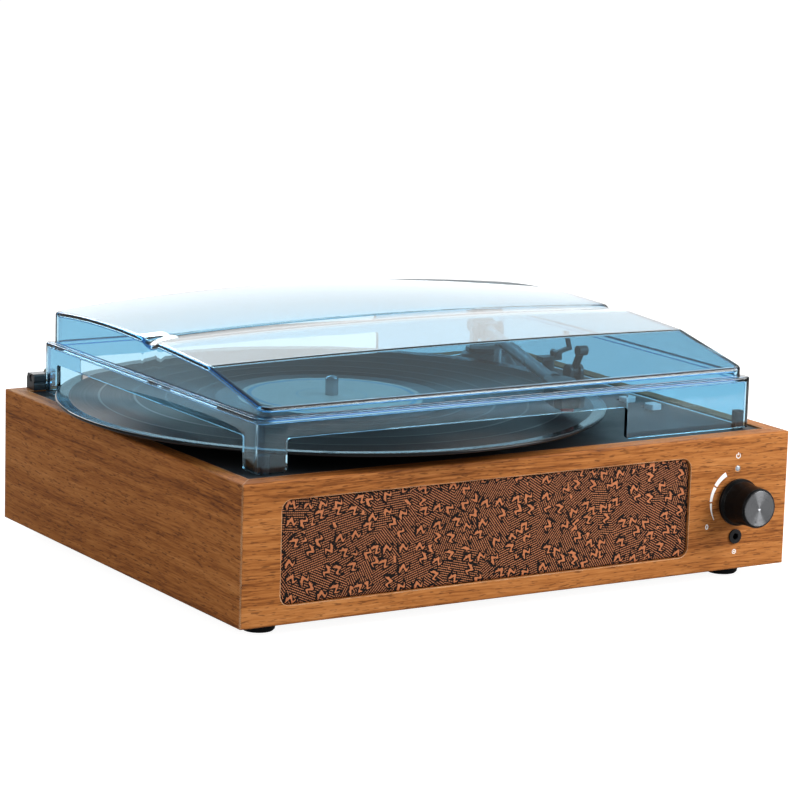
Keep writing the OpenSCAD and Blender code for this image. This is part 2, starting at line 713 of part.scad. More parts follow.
// Moulded shell, open below, that widens from its socket and narrows to its nose
socket_half = 5.2;
head_wall = 1.6;
nose_x = 9.5;
module head_outline(grow) {
  back_x = -head_len + 9;
  half = head_w / 2;
  translate([back_x + 2, 0]) square([4, 2 * (socket_half + grow)], center = true);
  polygon([
    [back_x, -socket_half - grow], [back_x + 8, -half - grow], [nose_x - 3.5, -half - grow],
    [nose_x + grow, -half + 3.5], [nose_x + grow, half - 3.5], [nose_x - 3.5, half + grow],
    [back_x + 8, half + grow], [back_x, socket_half + grow]
  ]);
}
head_bottom = stylus_tip + 4.2;
finger_t = 1.6;
module headshell() color(black) place() on_arm() translate([arm_len, 0, 0]) difference() {
  union() {
    translate([0, 0, head_bottom]) linear_extrude(head_top - head_bottom) head_outline(0);
    // Finger lift on the outer side
    translate([-2, head_w / 2 - 1, head_top - 3]) cube([5, 8, finger_t]);
    translate([0.5, head_w / 2 + 7, head_top - 3]) cylinder(d = 5, h = finger_t);
  }
  translate([0, 0, head_bottom - 1]) linear_extrude(head_top - head_bottom - 0.8) difference() {
    head_outline(-head_wall);
    translate([-head_len + 9, -10]) square([8, 20]);
  }
  translate([-head_len - 5, 0, arm_z]) rotate([0, 90, 0]) cylinder(d = tube_d + 0.04, h = 22);
}

// Body under the shell with a key that seats in it, and a pocket for the needle carrier
module cartridge() color("#1a1a1c") place() on_arm() translate([arm_len, 0, 0]) difference() {
  union() {
    translate([-6, 0, stylus_tip + 2.6]) round_plate(17, 12, head_top - stylus_tip - 5.2, 1.5);
    translate([-6, 0, head_top - 3.2]) round_plate(19, 6, 1.4, 1);
  }
  translate([1.2, 0, stylus_tip + 2]) round_plate(6, 7.2, 3.2, 1);
}

// Clip-on needle carrier, its sprung lever and the tip
module stylus() color("#d1202a") place() on_arm() translate([arm_len, 0, 0]) {
  translate([1.2, 0, stylus_tip + 1.4]) round_plate(5.6, 6.8, 3.6, 1);
  translate([-5.5, -1, stylus_tip + 1.4]) cube([5, 2, 1.1]);
  translate([0, 0, stylus_tip]) cylinder(r1 = 0.25, r2 = 0.7, h = 1.5);
}

// Post with an open shelf toward the record and two ears for the catch outside
shelf_z = arm_z - tube_d / 2 - part_gap;
clip_pin_d = 1.5;
clip_axis = [0, tube_d / 2 + 3.6, arm_z - 2];
clip_w = 3;
clip_open = 75;
clip_rise = tube_d / 2 + 2 + 2.7;
module arm_rest() color(black) place() at_arm_rest() difference() {
  union() {
    translate([0, 2.2, deck_z]) cylinder(d1 = 11, d2 = 8, h = 4);
    translate([0, 2.2, deck_z]) cylinder(d = 7, h = shelf_z - deck_z - 1);
    translate([-4, -tube_d / 2, shelf_z - 2]) cube([8, clip_axis[1] + tube_d / 2 + 1.75, 2]);
    translate([-4, clip_axis[1] - 1.75, shelf_z - 1]) cube([8, 3.5, clip_axis[2] - shelf_z + 1]);
    translate([-4, clip_axis[1], clip_axis[2]]) rotate([0, 90, 0]) cylinder(d = 3.5, h = 8);
  }
  translate([-clip_w / 2 - part_gap, clip_axis[1] - 3, clip_axis[2] - 2])
    cube([clip_w + 2 * part_gap, 8, 10]);
  translate([-5, clip_axis[1], clip_axis[2]]) rotate([0, 90, 0]) cylinder(d = clip_pin_d + 0.1, h = 10);
}

// Hooked catch on its own cross pin, drawn swung open. Closed, it reaches over the tube
module arm_clip() color("#6c7076") place() at_arm_rest() translate(clip_axis) {
  rotate([0, 90, 0]) translate([0, 0, -4.2]) cylinder(d = clip_pin_d, h = 8.4);
  rotate([0, 90, 0]) translate([0, 0, -clip_w / 2]) cylinder(d = 3.2, h = clip_w);
  rotate([-clip_open, 0, 0]) rotate([90, 0, 90]) translate([0, 0, -clip_w / 2]) linear_extrude(clip_w) {
    translate([-0.9, 0]) square([1.8, clip_rise + 1.8]);
    translate([-clip_axis[1] - 2, clip_rise]) square([clip_axis[1] + 2, 1.8]);
    translate([-clip_axis[1] - 2, clip_rise + 0.9]) circle(1.2);
  }
}

// Two cheeks on a screwed-down foot carry the lever's cross pin
cue_pin_z = deck_z + 7;
cue_pin_d = 2;
cheek_h = cue_pin_z - deck_z - 1.9;
module cue_bracket() color(black) place() translate([cue_x, cue_y, deck_z]) difference() {
  union() {
    round_plate(11, 14, 2, 2);
    for (s = [-1, 1]) translate([s * 3.6, 0, 1.9]) rotate([90, 0, 90]) translate([0, 0, -1.1])
      linear_extrude(2.2) {
        translate([-4, 0]) square([8, cheek_h]);
        translate([0, cheek_h]) circle(4);
      }
  }
  translate([0, 0, -1]) round_plate(4, 9, 4, slot_r);
  translate([-10, 0, cue_pin_z - deck_z]) rotate([0, 90, 0]) cylinder(d = cue_pin_d, h = 20);
}

// Lever that leans forward on its cross pin, with a round finger pad
cue_lean = 30;
lever_len = 15;
module cue_lever() color(dark) place() translate([cue_x, cue_y, cue_pin_z]) {
  rotate([0, 90, 0]) translate([0, 0, -5]) cylinder(d = cue_pin_d - 2 * pin_gap, h = 10);
  rotate([cue_lean, 0, 0]) {
    rotate([0, 90, 0]) translate([0, 0, -1.5]) cylinder(d = 6, h = 3);
    translate([-1.5, -1.6, 0]) cube([3, 3.2, lever_len]);
    translate([0, 0, lever_len]) rotate([0, 90, 0]) translate([0, 0, -3]) cylinder(d = 6, h = 6);
  }
}

// Curved rail that raises the arm at any swing, on a pin through the deck
lift_gap = 0.3;
lift_top = arm_z - tube_d / 2 - lift_gap;
rail_start = inner_angle - 6;
rail_span = rest_angle - inner_angle + 12;
module cue_lift() color(steel) place() {
  at_pivot() translate([0, 0, lift_top - 2]) rotate([0, 0, rail_start])
    rotate_extrude(angle = rail_span) translate([lift_reach - 1.5, 0]) square([3, 2]);
  at_lift_pin() translate([0, 0, under_z - 9]) cylinder(d = lift_pin_d, h = lift_top - 1.9 - under_z + 9);
}

// Cap with three grip grooves on a blade through the deck's slot
module slide_switch(y, cap_l) color("#c8c8c8") place() translate([switch_x, y, 0]) {
  translate([0, 0, under_z - 3]) round_plate(2.4, cap_l * 0.45, deck_t + 3.2, 0.9);
  translate([0, 0, deck_z + 0.15]) difference() {
    round_plate(7, cap_l, 3.2, 1.2);
    for (k = [-1, 0, 1]) translate([-5, k * cap_l * 0.22 - 0.4, 2.4]) cube([10, 0.8, 2]);
  }
}
module speed_switch() slide_switch(speed_y - speed_travel, 8);
module auto_stop_switch() slide_switch(auto_y - auto_travel, 8);

// ---- Front controls ------------------------------------------------------

pot_shaft_d = 6;
shaft_flat = 1.5;
shaft_end = knob_len - 6.3;
knob_gap = 0.8;
knob_face_d = knob_d - 6.4;

module on_front(z) translate([control_x, front_y, z]) rotate([90, 0, 0]) children();

// Drawn along the axis: 0 at the cabinet's face, knob_len at the knob's face
module volume_knob() color("#0c0c0d") place() on_front(knob_z) difference() {
  union() {
    rotate_extrude() polygon([
      [0, knob_gap], [knob_d / 2 - 0.6, knob_gap], [knob_d / 2, knob_gap + 0.8],
      [knob_d / 2, 3.4], [knob_d / 2 - 1.1, 4.8], [knob_d / 2 - 1.9, 12],
      [knob_d / 2 - 2.1, knob_len - 1.2], [knob_d / 2 - 2.7, knob_len - 0.2],
      [knob_d / 2 - 3.2, knob_len], [0, knob_len]
    ]);
  }
  translate([0, 0, knob_len - 0.6]) cylinder(d = knob_face_d + 0.04, h = 2);
  translate([0, 0, -1]) difference() {
    cylinder(d = pot_shaft_d + 0.04, h = shaft_end + 1.3);
    translate([-5, shaft_flat, 0]) cube([10, 5, 30]);
  }
  translate([0, 0, -1]) cylinder(d = 13, h = 5.6);
}

module knob_face() color("#4b4e52") place() on_front(knob_z) difference() {
  translate([0, 0, knob_len - 0.6]) rotate_extrude() polygon([
    [0, 0], [knob_face_d / 2, 0], [knob_face_d / 2, 0.35], [knob_face_d / 2 - 0.3, 0.6], [0, 0.3]
  ]);
  rotate([0, 0, 249]) translate([knob_face_d / 2 - 2.2, 0, knob_len - 0.3]) cylinder(d = 1.4, h = 1);
}

// Steel shaft, flattened where it enters the knob
module pot_shaft() color(steel) place() on_front(knob_z) difference() {
  translate([0, 0, -front_t - 3.5]) cylinder(d = pot_shaft_d, h = front_t + 3.5 + shaft_end);
  translate([-5, shaft_flat - 0.02, 4]) cube([10, 5, 30]);
}

board_y = front_t + 9;

// Body, threaded bush and nut, bored for the shaft
module potentiometer() color("#8a8d91") place() on_front(knob_z) difference() {
  union() {
    translate([0, 0, -board_y]) cylinder(d = 16, h = board_y - front_t - 1);
    translate([0, 0, -front_t - 1.5]) cylinder(d = 12, h = 1.5);
    translate([0, 0, -front_t - 1]) cylinder(d = 7.6, h = front_t + 3.6);
    cylinder(d = 11, h = 1.9, $fn = 6);
  }
  translate([0, 0, -front_t - 4]) cylinder(d = pot_shaft_d + 2 * run_gap, h = front_t + 10);
}

// Clear light guide from the board to the front, where it ends in a low dome
light_sunk = 0.6;
module power_light() color("#c9ccd0") place() on_front(light_z) {
  translate([0, 0, -board_y]) cylinder(d = light_d, h = board_y - light_sunk);
  translate([0, 0, -light_sunk - eps]) intersection() {
    translate([0, 0, -2.5]) sphere(r = 3.3);
    cylinder(d = light_d, h = 3);
  }
}

aux_bore_d = 3.6;
aux_bore_len = 14;
bezel_d = 8;
bezel_h = 0.9;
// Body behind the panel, neck through it and a low bezel in front
module aux_socket() color("#141414") place() on_front(aux_z) difference() {
  union() {
    translate([0, 0, -front_t - 3]) linear_extrude(front_t - 1) square(aux_body, center = true);
    translate([0, 0, -4.1]) cylinder(d = aux_neck_d, h = 4.2);
    cylinder(d = bezel_d, h = bezel_h);
  }
  translate([0, 0, bezel_h - aux_bore_len]) cylinder(d = aux_bore_d, h = aux_bore_len + 1);
}

// Its lower edge clears the foot's screw below
control_board_z0 = foot_recess + screw_len + 1;
control_board_z1 = light_z + 8;
module control_board() color(board_green) place() difference() {
  translate([control_x, front_y + board_y, (control_board_z0 + control_board_z1) / 2])
    upright(pcb_t) round_rect(22, control_board_z1 - control_board_z0, 1);
  translate([control_x, front_y + board_y - 1, aux_z - 2]) rotate([-90, 0, 0]) cylinder(d = 1, h = 5);
}

amp_w = 84;
amp_d = 60;
amp_x = in_x - 60;
amp_y = -in_y + 76;
standoff_h = 6;
pcb_t = 1.6;
// Board on four posts with capacitors, a chip and a finned heat sink
module amplifier_board() color(board_green) place() translate([amp_x, amp_y, board_z]) {
  translate([0, 0, standoff_h]) round_plate(amp_w, amp_d, pcb_t, 2);
  for (x = [-1, 1], y = [-1, 1])
    translate([x * (amp_w / 2 - 4), y * (amp_d / 2 - 4), 0]) cylinder(d = 6, h = standoff_h + eps);
  for (k = [0:3]) translate([-28 + k * 13, 18, standoff_h + 1.5]) cylinder(d = 9, h = 14);
  translate([-10, -8, standoff_h + 1.5]) round_plate(16, 14, 3, 0.5);
  translate([20, -12, standoff_h + 1.5]) for (k = [-3:3])
    translate([k * 3.5 - 0.6, -9, 0]) cube([1.2, 18, 16]);
  translate([7, -21, standoff_h + 1.5]) cube([26, 18, 2]);
}

// ---- Back sockets --------------------------------------------------------

rca_d = 8.3;
rca_left_x = -22;
rca_right_x = -4;
inlet_x = 21;
inlet_d = 9;
plate_screw_d = 3;
module on_back(x) translate([jack_x + x, cab_d / 2, jack_z]) rotate([-90, 0, 0]) children();

module jack_plate() color(black) place() difference() {
  on_back(0) linear_extrude(jack_plate_t) round_rect(jack_plate_w, jack_plate_h, 3);
  for (x = [rca_left_x, rca_right_x]) on_back(x) translate([0, 0, -1]) cylinder(d = rca_d + 0.1, h = 5);
  on_back(inlet_x) translate([0, 0, -1]) cylinder(d = inlet_d + 0.1, h = 5);
  for (s = [-1, 1]) on_back(s * (jack_plate_w / 2 - 4)) translate([0, 0, -1])
    cylinder(d = plate_screw_d, h = 5);
}

// Insulated body behind the plate, shell in front and the hole for the centre pin
module rca_socket(x, tint) color(tint) place() on_back(x) difference() {
  union() {
    translate([0, 0, -8]) cylinder(d = 12, h = 8);
    translate([0, 0, -1]) cylinder(d = rca_d, h = jack_plate_t + socket_len + 1);
    translate([0, 0, jack_plate_t]) cylinder(d = 11, h = 1);
  }
  translate([0, 0, jack_plate_t + socket_len - 8]) cylinder(d = 3.4, h = 10);
}
module rca_socket_left() rca_socket(rca_left_x, "#e8e8e8");
module rca_socket_right() rca_socket(rca_right_x, "#c0282c");

// Low-voltage inlet with its centre pin
module power_inlet() color("#141414") place() on_back(inlet_x) {
  difference() {
    union() {
      translate([0, 0, -11]) cylinder(d = 12, h = 11);
      translate([0, 0, -1]) cylinder(d = inlet_d, h = jack_plate_t + 2.2);
      translate([0, 0, jack_plate_t]) cylinder(d = 11, h = 1);
    }
    translate([0, 0, -8]) cylinder(d = 5.6, h = 20);
  }
  translate([0, 0, -9]) cylinder(d = 2.1, h = 9);
}

// ---- Dust cover ----------------------------------------------------------

// Half the record's width where a wall at this distance from the spindle cuts it
function chord(distance) = sqrt(max(0, pow(record_r, 2) - pow(distance, 2)));
// End of a cut-out: past the record at the wall's outer face, and clear at its inner one
cut_clear = 3;
function cut_half(distance, gap) = max(chord(distance) + gap, chord(distance - lid_t) + cut_clear);

dome_x0 = lid_x0 + ledge_w;
dome_x1 = lid_x1 - ledge_w;
dome_y0 = lid_y0 + ledge_w;
dome_y1 = lid_y1 - ledge_w;
crease_y = dome_y0 + (dome_y1 - dome_y0) * 0.24;
groove_y = dome_y0 + (dome_y1 - dome_y0) * 0.51;
groove_r = 9;
groove_depth = 3.8;
back_bow = 2;

// Side outline of the raised top, front to back, as [y, height above the skirt]
function back_height(t) = lip_h + (tail_h - lip_h) * t + 4 * back_bow * t * (1 - t);
lid_outline = concat(
  [[dome_y0, nose_h], [crease_y, crease_h], [groove_y - groove_r, lip_h]],
  [for (a = [210:30:330]) [groove_y + groove_r * cos(a), lip_h + groove_depth * sin(a)]],
  [for (t = [0:0.25:1]) [groove_y + groove_r + (dome_y1 - groove_y - groove_r) * t, back_height(t)]]
);
arch_steps = 16;
function arch(y, u) = arch_h * (y - dome_y0) / (dome_y1 - dome_y0) * (1 - u * u);

// Block under the arched top, lowered by drop. It spills over the plan on all
// sides, because the plan's own prism gives the raised top its walls.
module dome_block(drop, foot_z) {
  n = len(lid_outline);
  spill = 2;
  x0 = dome_x0 - spill;
  x1 = dome_x1 + spill;
  half = (dome_x1 - dome_x0) / 2;
  mid = (dome_x0 + dome_x1) / 2;
  ys = [for (i = [0:n - 1]) lid_outline[i][0] + (i == 0 ? -spill : i == n - 1 ? spill : 0)];
  tops = [for (i = [0:n - 1], k = [0:arch_steps]) let (
      x = x0 + (x1 - x0) * k / arch_steps,
      u = (x - mid) / half
    ) [x, ys[i], skirt_top + lid_outline[i][1] - drop + arch(ys[i], u)]];
  feet = [[x0, ys[0], foot_z], [x1, ys[0], foot_z], [x1, ys[n - 1], foot_z], [x0, ys[n - 1], foot_z]];
  row = arch_steps + 1;
  b = n * row;
  polyhedron(concat(tops, feet), concat(
    [for (i = [0:n - 2], k = [0:arch_steps - 1]) each [
      [i * row + k, (i + 1) * row + k, (i + 1) * row + k + 1],
      [i * row + k, (i + 1) * row + k + 1, i * row + k + 1]
    ]],
    [concat([for (k = [0:arch_steps]) k], [b + 1, b])],
    [concat([for (k = [arch_steps:-1:0]) (n - 1) * row + k], [b + 3, b + 2])],
    [concat([for (i = [n - 1:-1:0]) i * row], [b, b + 3])],
    [concat([for (i = [0:n - 1]) i * row + arch_steps], [b + 2, b + 1])],
    [[b, b + 1, b + 2, b + 3]]
  ));
}

module lid_plan(inset, r) translate([(lid_x0 + lid_x1) / 2, (lid_y0 + lid_y1) / 2])
  round_rect(lid_x1 - lid_x0 - 2 * inset, lid_y1 - lid_y0 - 2 * inset, r);

module at_hinge(s) translate([
  s < 0 ? lid_x0 + hinge_inset : lid_x1 - hinge_inset, hinge_y, hinge_z
]) children();

// Cut-out from x0 to x1 in a wall's lower edge, with its corners rounded above
// and flared below. It runs from y = 0 through the wall toward -Y
module notch(x0, x1) rotate([90, 0, 0]) linear_extrude(lid_t + 2) {
  translate([x0, -1]) square([x1 - x0, cut_h + 1 - cut_r]);
  translate([x0 + cut_r, 0]) square([x1 - x0 - 2 * cut_r, cut_h]);
  for (x = [x0 + cut_r, x1 - cut_r]) translate([x, cut_h - cut_r]) circle(cut_r, $fn = 32);
  for (e = [[x0, -1], [x1, 1]]) difference() {
    translate([e[0] - cut_r, -1]) square([2 * cut_r, cut_r + 1]);
    translate([e[0] + e[1] * cut_r, cut_r]) circle(cut_r, $fn = 32);
  }
}

module dust_cover() color([0.45, 0.68, 0.82, 0.55]) place() difference() {
  union() {
    translate([0, 0, lid_z]) linear_extrude(skirt_h) lid_plan(0, lid_corner);
    intersection() {
      dome_block(0, skirt_top - 1);
      translate([0, 0, lid_z]) linear_extrude(100) lid_plan(ledge_w, lid_corner + 1);
    }
    for (s = [-1, 1]) at_hinge(s) {
      translate([-tab_t / 2, 0, 0]) rotate([0, 90, 0]) cylinder(r = tab_r, h = tab_t);
      translate([-tab_t / 2, lid_y1 - hinge_y - 1, -tab_r]) cube([tab_t, hinge_y - lid_y1 + 1, 2 * tab_r]);
    }
  }
  translate([0, 0, lid_z - 1]) linear_extrude(skirt_h - lid_t + 1) lid_plan(lid_t, lid_corner - lid_t);
  intersection() {
    dome_block(lid_t, skirt_top - lid_t - 1);
    translate([0, 0, lid_z]) linear_extrude(100) lid_plan(ledge_w + lid_t, lid_corner - 1);
  }
  for (wall = [[lid_y0 + lid_t + 1, spindle_y - lid_y0], [lid_y1 + 1, lid_y1 - spindle_y]])
    translate([0, wall[0], lid_z]) notch(
      spindle_x - cut_half(wall[1], cut_gap_left),
      spindle_x + cut_half(wall[1], cut_gap_right)
    );
  translate([lid_x0 - 1, 0, lid_z]) rotate([0, 0, 90]) notch(
    spindle_y - cut_half(spindle_x - lid_x0, cut_gap_front),
    spindle_y + cut_half(spindle_x - lid_x0, cut_gap_back)
  );
  for (s = [-1, 1]) at_hinge(s)
    translate([-20, 0, 0]) rotate([0, 90, 0]) cylinder(d = hinge_pin_d + 2 * pin_gap, h = 40);
}

block_w = 9.5;
block_d = 9.6;
block_h = 9;
block_x = tab_t / 2 + hinge_gap + block_w / 2;
module hinge_screw_at(s) at_hinge(s) translate([s * block_x, 1.2, rim_z - hinge_z]) children();

// Moulded blocks on the back rim, each with a waist and a rounded top
module hinge_blocks() color(black) place() for (s = [-1, 1]) at_hinge(s) difference() {
  translate([s * block_x - block_w / 2, 0, 0]) rotate([90, 0, 90])
    linear_extrude(block_w) difference() {
      union() {
        translate([-4.2, rim_z - hinge_z]) square([block_d, block_h - 2]);
        translate([-3, rim_z - hinge_z]) square([block_d - 2.4, block_h]);
        for (y = [-3, block_d - 6.4]) translate([y + 0.2, rim_z - hinge_z + block_h - 1.4]) circle(1.4);
      }
      translate([-4.9, rim_z - hinge_z + 4]) circle(1.2);
    }
  translate([-20, 0, 0]) rotate([0, 90, 0]) cylinder(d = hinge_pin_d + 0.02, h = 40);
}

module hinge_pins() color(steel) place() for (s = [-1, 1]) at_hinge(s)
  translate([s < 0 ? 1 - tab_t / 2 - hinge_gap - block_w : -tab_t / 2 - 0.8, 0, 0])
    rotate([0, 90, 0]) cylinder(d = hinge_pin_d, h = block_w + tab_t + 0.2);

// Rubber buffers in the cover's front corners, which it stands on when closed
bumper_w = 6;
bumper_in = lid_t + bumper_w / 2 + 0.2;
module cover_bumpers() color(black) place()
  for (x = [lid_x0 + bumper_in, lid_x1 - bumper_in])
    translate([x, lid_y0 + bumper_in, deck_z]) round_plate(bumper_w, bumper_w, 10, 2.2);

front_panel();
left_panel();
right_panel();
back_panel();
bottom_board();
side_cleats();
foot_front_left();
foot_front_right();
foot_back_left();
foot_back_right();
case_screws();
deck_plate();
grille_frame();
grille_cloth();
left_speaker_basket();
left_speaker_cone();
left_speaker_magnet();
right_speaker_basket();
right_speaker_cone();
right_speaker_magnet();
bearing_well();
spindle_shaft();
platter();
platter_mat();
vinyl_record();
drive_motor();
motor_grommets();
motor_pulley();
drive_belt();
arm_base();
arm_yoke();
arm_pivot_pin();
arm_tube();
headshell();
cartridge();
stylus();
counterweight();
arm_rest();
arm_clip();
cue_bracket();
cue_lever();
cue_lift();
speed_switch();
auto_stop_switch();
volume_knob();
knob_face();
pot_shaft();
potentiometer();
power_light();
aux_socket();
control_board();
amplifier_board();
jack_plate();
rca_socket_left();
rca_socket_right();
power_inlet();
dust_cover();
hinge_blocks();
hinge_pins();
cover_bumpers();
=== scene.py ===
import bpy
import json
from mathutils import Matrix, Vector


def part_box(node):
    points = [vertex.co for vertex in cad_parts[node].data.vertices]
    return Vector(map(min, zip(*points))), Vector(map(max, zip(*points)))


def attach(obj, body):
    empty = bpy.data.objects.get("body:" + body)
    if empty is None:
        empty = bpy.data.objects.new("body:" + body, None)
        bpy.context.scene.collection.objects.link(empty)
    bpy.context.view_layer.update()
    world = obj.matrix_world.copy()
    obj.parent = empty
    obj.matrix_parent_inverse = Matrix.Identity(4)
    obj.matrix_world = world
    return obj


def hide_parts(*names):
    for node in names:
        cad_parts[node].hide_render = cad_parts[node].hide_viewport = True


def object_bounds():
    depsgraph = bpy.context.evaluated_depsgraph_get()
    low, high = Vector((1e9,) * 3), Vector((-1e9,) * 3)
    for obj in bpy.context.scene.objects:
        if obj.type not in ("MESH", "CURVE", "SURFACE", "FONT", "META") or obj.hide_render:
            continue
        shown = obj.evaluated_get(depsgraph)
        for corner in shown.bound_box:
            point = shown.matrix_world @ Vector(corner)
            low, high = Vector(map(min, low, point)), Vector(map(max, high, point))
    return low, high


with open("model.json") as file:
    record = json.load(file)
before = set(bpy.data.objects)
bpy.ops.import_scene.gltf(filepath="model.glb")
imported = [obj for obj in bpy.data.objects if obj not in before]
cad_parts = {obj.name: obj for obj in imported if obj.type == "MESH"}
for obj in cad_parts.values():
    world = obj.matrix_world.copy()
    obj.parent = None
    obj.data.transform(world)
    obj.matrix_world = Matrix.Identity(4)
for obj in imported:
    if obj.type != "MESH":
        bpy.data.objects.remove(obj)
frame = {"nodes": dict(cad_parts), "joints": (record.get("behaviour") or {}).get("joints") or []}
cad_box = [list(corner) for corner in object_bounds()]

import json
import math
import random
import bpy
import bmesh
from mathutils import Matrix, Vector


# ---- Studio ------------------------------------------------------------------
# A long lens at table height looks at the front left corner, over a wide white sweep.
# A key soft box stands right, a weak fill left and a box overhead. Behind stand a panel
# for the top of the cover to mirror and a strip that lights the record's grooves.
MM = 0.001


def add(tree, kind, values=None, **settings):
    """A shader node. Settings are words, values are numbers or the sockets to link."""
    node = tree.nodes.new("ShaderNode" + kind)
    for word, setting in settings.items():
        setattr(node, word, setting)
    for key, value in (values or {}).items():
        if isinstance(value, bpy.types.NodeSocket):
            tree.links.new(value, node.inputs[key])
        else:
            node.inputs[key].default_value = value
    return node


def calc(tree, operation, *values):
    """One step of arithmetic; its result as a socket."""
    return add(tree, "Math", dict(enumerate(values)), operation=operation).outputs[0]


def new_material(name):
    finish = bpy.data.materials.new(name)
    finish.use_nodes = True
    return finish, finish.node_tree, finish.node_tree.nodes["Principled BSDF"]


ROOM_LIGHT = 0.30
FLOOR_GLOW = 0.92
FLOOR_SIZE = 40.0
SWEEP_TOP = 0.06
GLOSS_SHARE = 0.2
CAMERA_AWAY, FOCAL_LENGTH, SENSOR_WIDTH = 1.8445, 149.7, 36
AIM_OFF_MIDDLE = Vector((11, -2, 20)) * MM

bearing, pitch, roll = (math.radians(angle) for angle in (31.81, 10.81, 1.67))
low, high = (Vector(corner) for corner in cad_box)
aim = (low + high) / 2 + AIM_OFF_MIDDLE
look = Vector((
    math.sin(bearing) * math.cos(pitch), math.cos(bearing) * math.cos(pitch), -math.sin(pitch)
))
level = Vector((math.cos(bearing), -math.sin(bearing), 0))
upright = level.cross(look)
across = level * math.cos(roll) + upright * math.sin(roll)
lens = bpy.data.cameras.new("camera")
lens.lens = FOCAL_LENGTH
lens.sensor_width = SENSOR_WIDTH
camera = bpy.data.objects.new("camera", lens)
bpy.context.scene.collection.objects.link(camera)
turn = Matrix((across, across.cross(look), -look)).transposed()
camera.matrix_world = Matrix.Translation(aim - look * CAMERA_AWAY) @ turn.to_4x4()
bpy.context.scene.camera = camera
bpy.context.scene.view_settings.view_transform = "Standard"

room = bpy.data.worlds.new("room")
room.use_nodes = True
bpy.context.scene.world = room
air = room.node_tree


def white_seen(tree, mirrored=1.0):
    """1 for a ray that sees the white sweep: straight, through the cover, or mirrored once."""
    rays = add(tree, "LightPath").outputs
    clean = calc(tree, "LESS_THAN", rays["Diffuse Depth"], 0.5)
    unmirrored = calc(tree, "LESS_THAN", rays["Glossy Depth"], 0.5)
    bent = calc(tree, "MULTIPLY", rays["Is Glossy Ray"], GLOSS_SHARE)
    bent = calc(tree, "MAXIMUM", bent, rays["Is Transmission Ray"])
    bent = calc(tree, "MULTIPLY", bent, calc(tree, "MAXIMUM", unmirrored, mirrored))
    return calc(tree, "MAXIMUM", rays["Is Camera Ray"], calc(tree, "MULTIPLY", bent, clean))


skyward = add(air, "SeparateXYZ", {0: add(air, "TexCoord").outputs["Generated"]}).outputs[2]
seen = white_seen(air, calc(air, "LESS_THAN", skyward, SWEEP_TOP))
air.nodes["Background"].inputs["Color"].default_value = (1, 1, 1, 1)
air.links.new(
    calc(air, "MULTIPLY_ADD", seen, 1 - ROOM_LIGHT, ROOM_LIGHT),
    air.nodes["Background"].inputs["Strength"],
)


def soft_box(name, place, width, height, power):
    """A rectangular lamp that faces the player."""
    lamp = bpy.data.lights.new(name, "AREA")
    lamp.shape = "RECTANGLE"
    lamp.size, lamp.size_y, lamp.energy = width, height, power
    stand = bpy.data.objects.new(name, lamp)
    bpy.context.scene.collection.objects.link(stand)
    stand.location = place
    stand.rotation_euler = (Vector(place) - aim).to_track_quat("Z", "Y").to_euler()


soft_box("key_light", (0.95, -0.95, 0.7), 0.95, 0.95, 27)
soft_box("fill_light", (-1.5, -0.5, 0.7), 1.2, 1.0, 8.5)
soft_box("overhead_light", (0.85, -0.05, 1.25), 2.2, 1.1, 9)
soft_box("back_panel", (1.2, 1.9, 0.58), 2.6, 0.95, 11)
soft_box("back_strip", (0.25, 1.9, 1.1), 1.2, 0.6, 13)

bpy.ops.mesh.primitive_plane_add(size=FLOOR_SIZE)
floor = bpy.context.object
floor.name = "floor"
paper, tree, principled = new_material("floor_paper")
principled.inputs["Base Color"].default_value = (0.4, 0.4, 0.4, 1)
principled.inputs["Roughness"].default_value = 0.9
principled.inputs["Specular IOR Level"].default_value = 0.0
principled.inputs["Emission Color"].default_value = (1, 1, 1, 1)
tree.links.new(
    calc(tree, "MULTIPLY", white_seen(tree), FLOOR_GLOW), principled.inputs["Emission Strength"]
)
floor.data.materials.append(paper)


# ---- Cabinet -----------------------------------------------------------------
# Four chipboard panels in oiled walnut veneer, mitred and glued at the corners. The
# grain runs along each panel, and the arrises are pale: a little rubbed, and partly a
# painted highlight along the edges.
def dress(finish, *names):
    """Gives these CAD nodes this finish."""
    for name in names:
        for slot in frame["nodes"][name].material_slots:
            slot.material = finish


def shader_group(name, inputs, outputs):
    """An empty node group. Inputs give their usual values; outputs are Color, Vector or Float."""
    group = bpy.data.node_groups.new(name, "ShaderNodeTree")
    for word, value in inputs.items():
        kind = "NodeSocketFloat" if isinstance(value, (int, float)) else "NodeSocketColor"
        kind = "NodeSocketVector" if hasattr(value, "__len__") and len(value) == 3 else kind
        group.interface.new_socket(word, in_out="INPUT", socket_type=kind).default_value = value
    for word, kind in outputs.items():
        group.interface.new_socket(word, in_out="OUTPUT", socket_type="NodeSocket" + kind)
    given, gives = group.nodes.new("NodeGroupInput"), group.nodes.new("NodeGroupOutput")
    return group, given.outputs, gives.inputs


def place_group(tree, group, **values):
    """The group in a material's tree, with its own values; its outputs."""
    node = tree.nodes.new("ShaderNodeGroup")
    node.node_tree = group
    for word, value in values.items():
        socket = node.inputs[word.replace("_", " ")]
        if isinstance(value, bpy.types.NodeSocket):
            tree.links.new(value, socket)
        else:
            socket.default_value = value
    return node.outputs


def colour(red, green, blue):
    return (red, green, blue, 1.0)


def mix_colour(tree, share, first, second):
    return add(tree, "Mix", {0: share, 6: first, 7: second}, data_type="RGBA").outputs[2]


def smooth_step(tree, value, start, end):
    """0 below start, 1 above end, and a soft rise between."""
    node = add(tree, "MapRange", {0: value, 1: start, 2: end}, interpolation_type="SMOOTHSTEP")
    return node.outputs[0]


def noise(tree, where, scale, detail, roughness=0.5):
    node = add(tree, "TexNoise", {
        "Vector": where, "Scale": scale, "Detail": detail, "Roughness": roughness
    })
    return node.outputs["Fac"]


def vector_calc(tree, operation, *values):
    return add(tree, "VectorMath", dict(enumerate(values)), operation=operation).outputs[0]


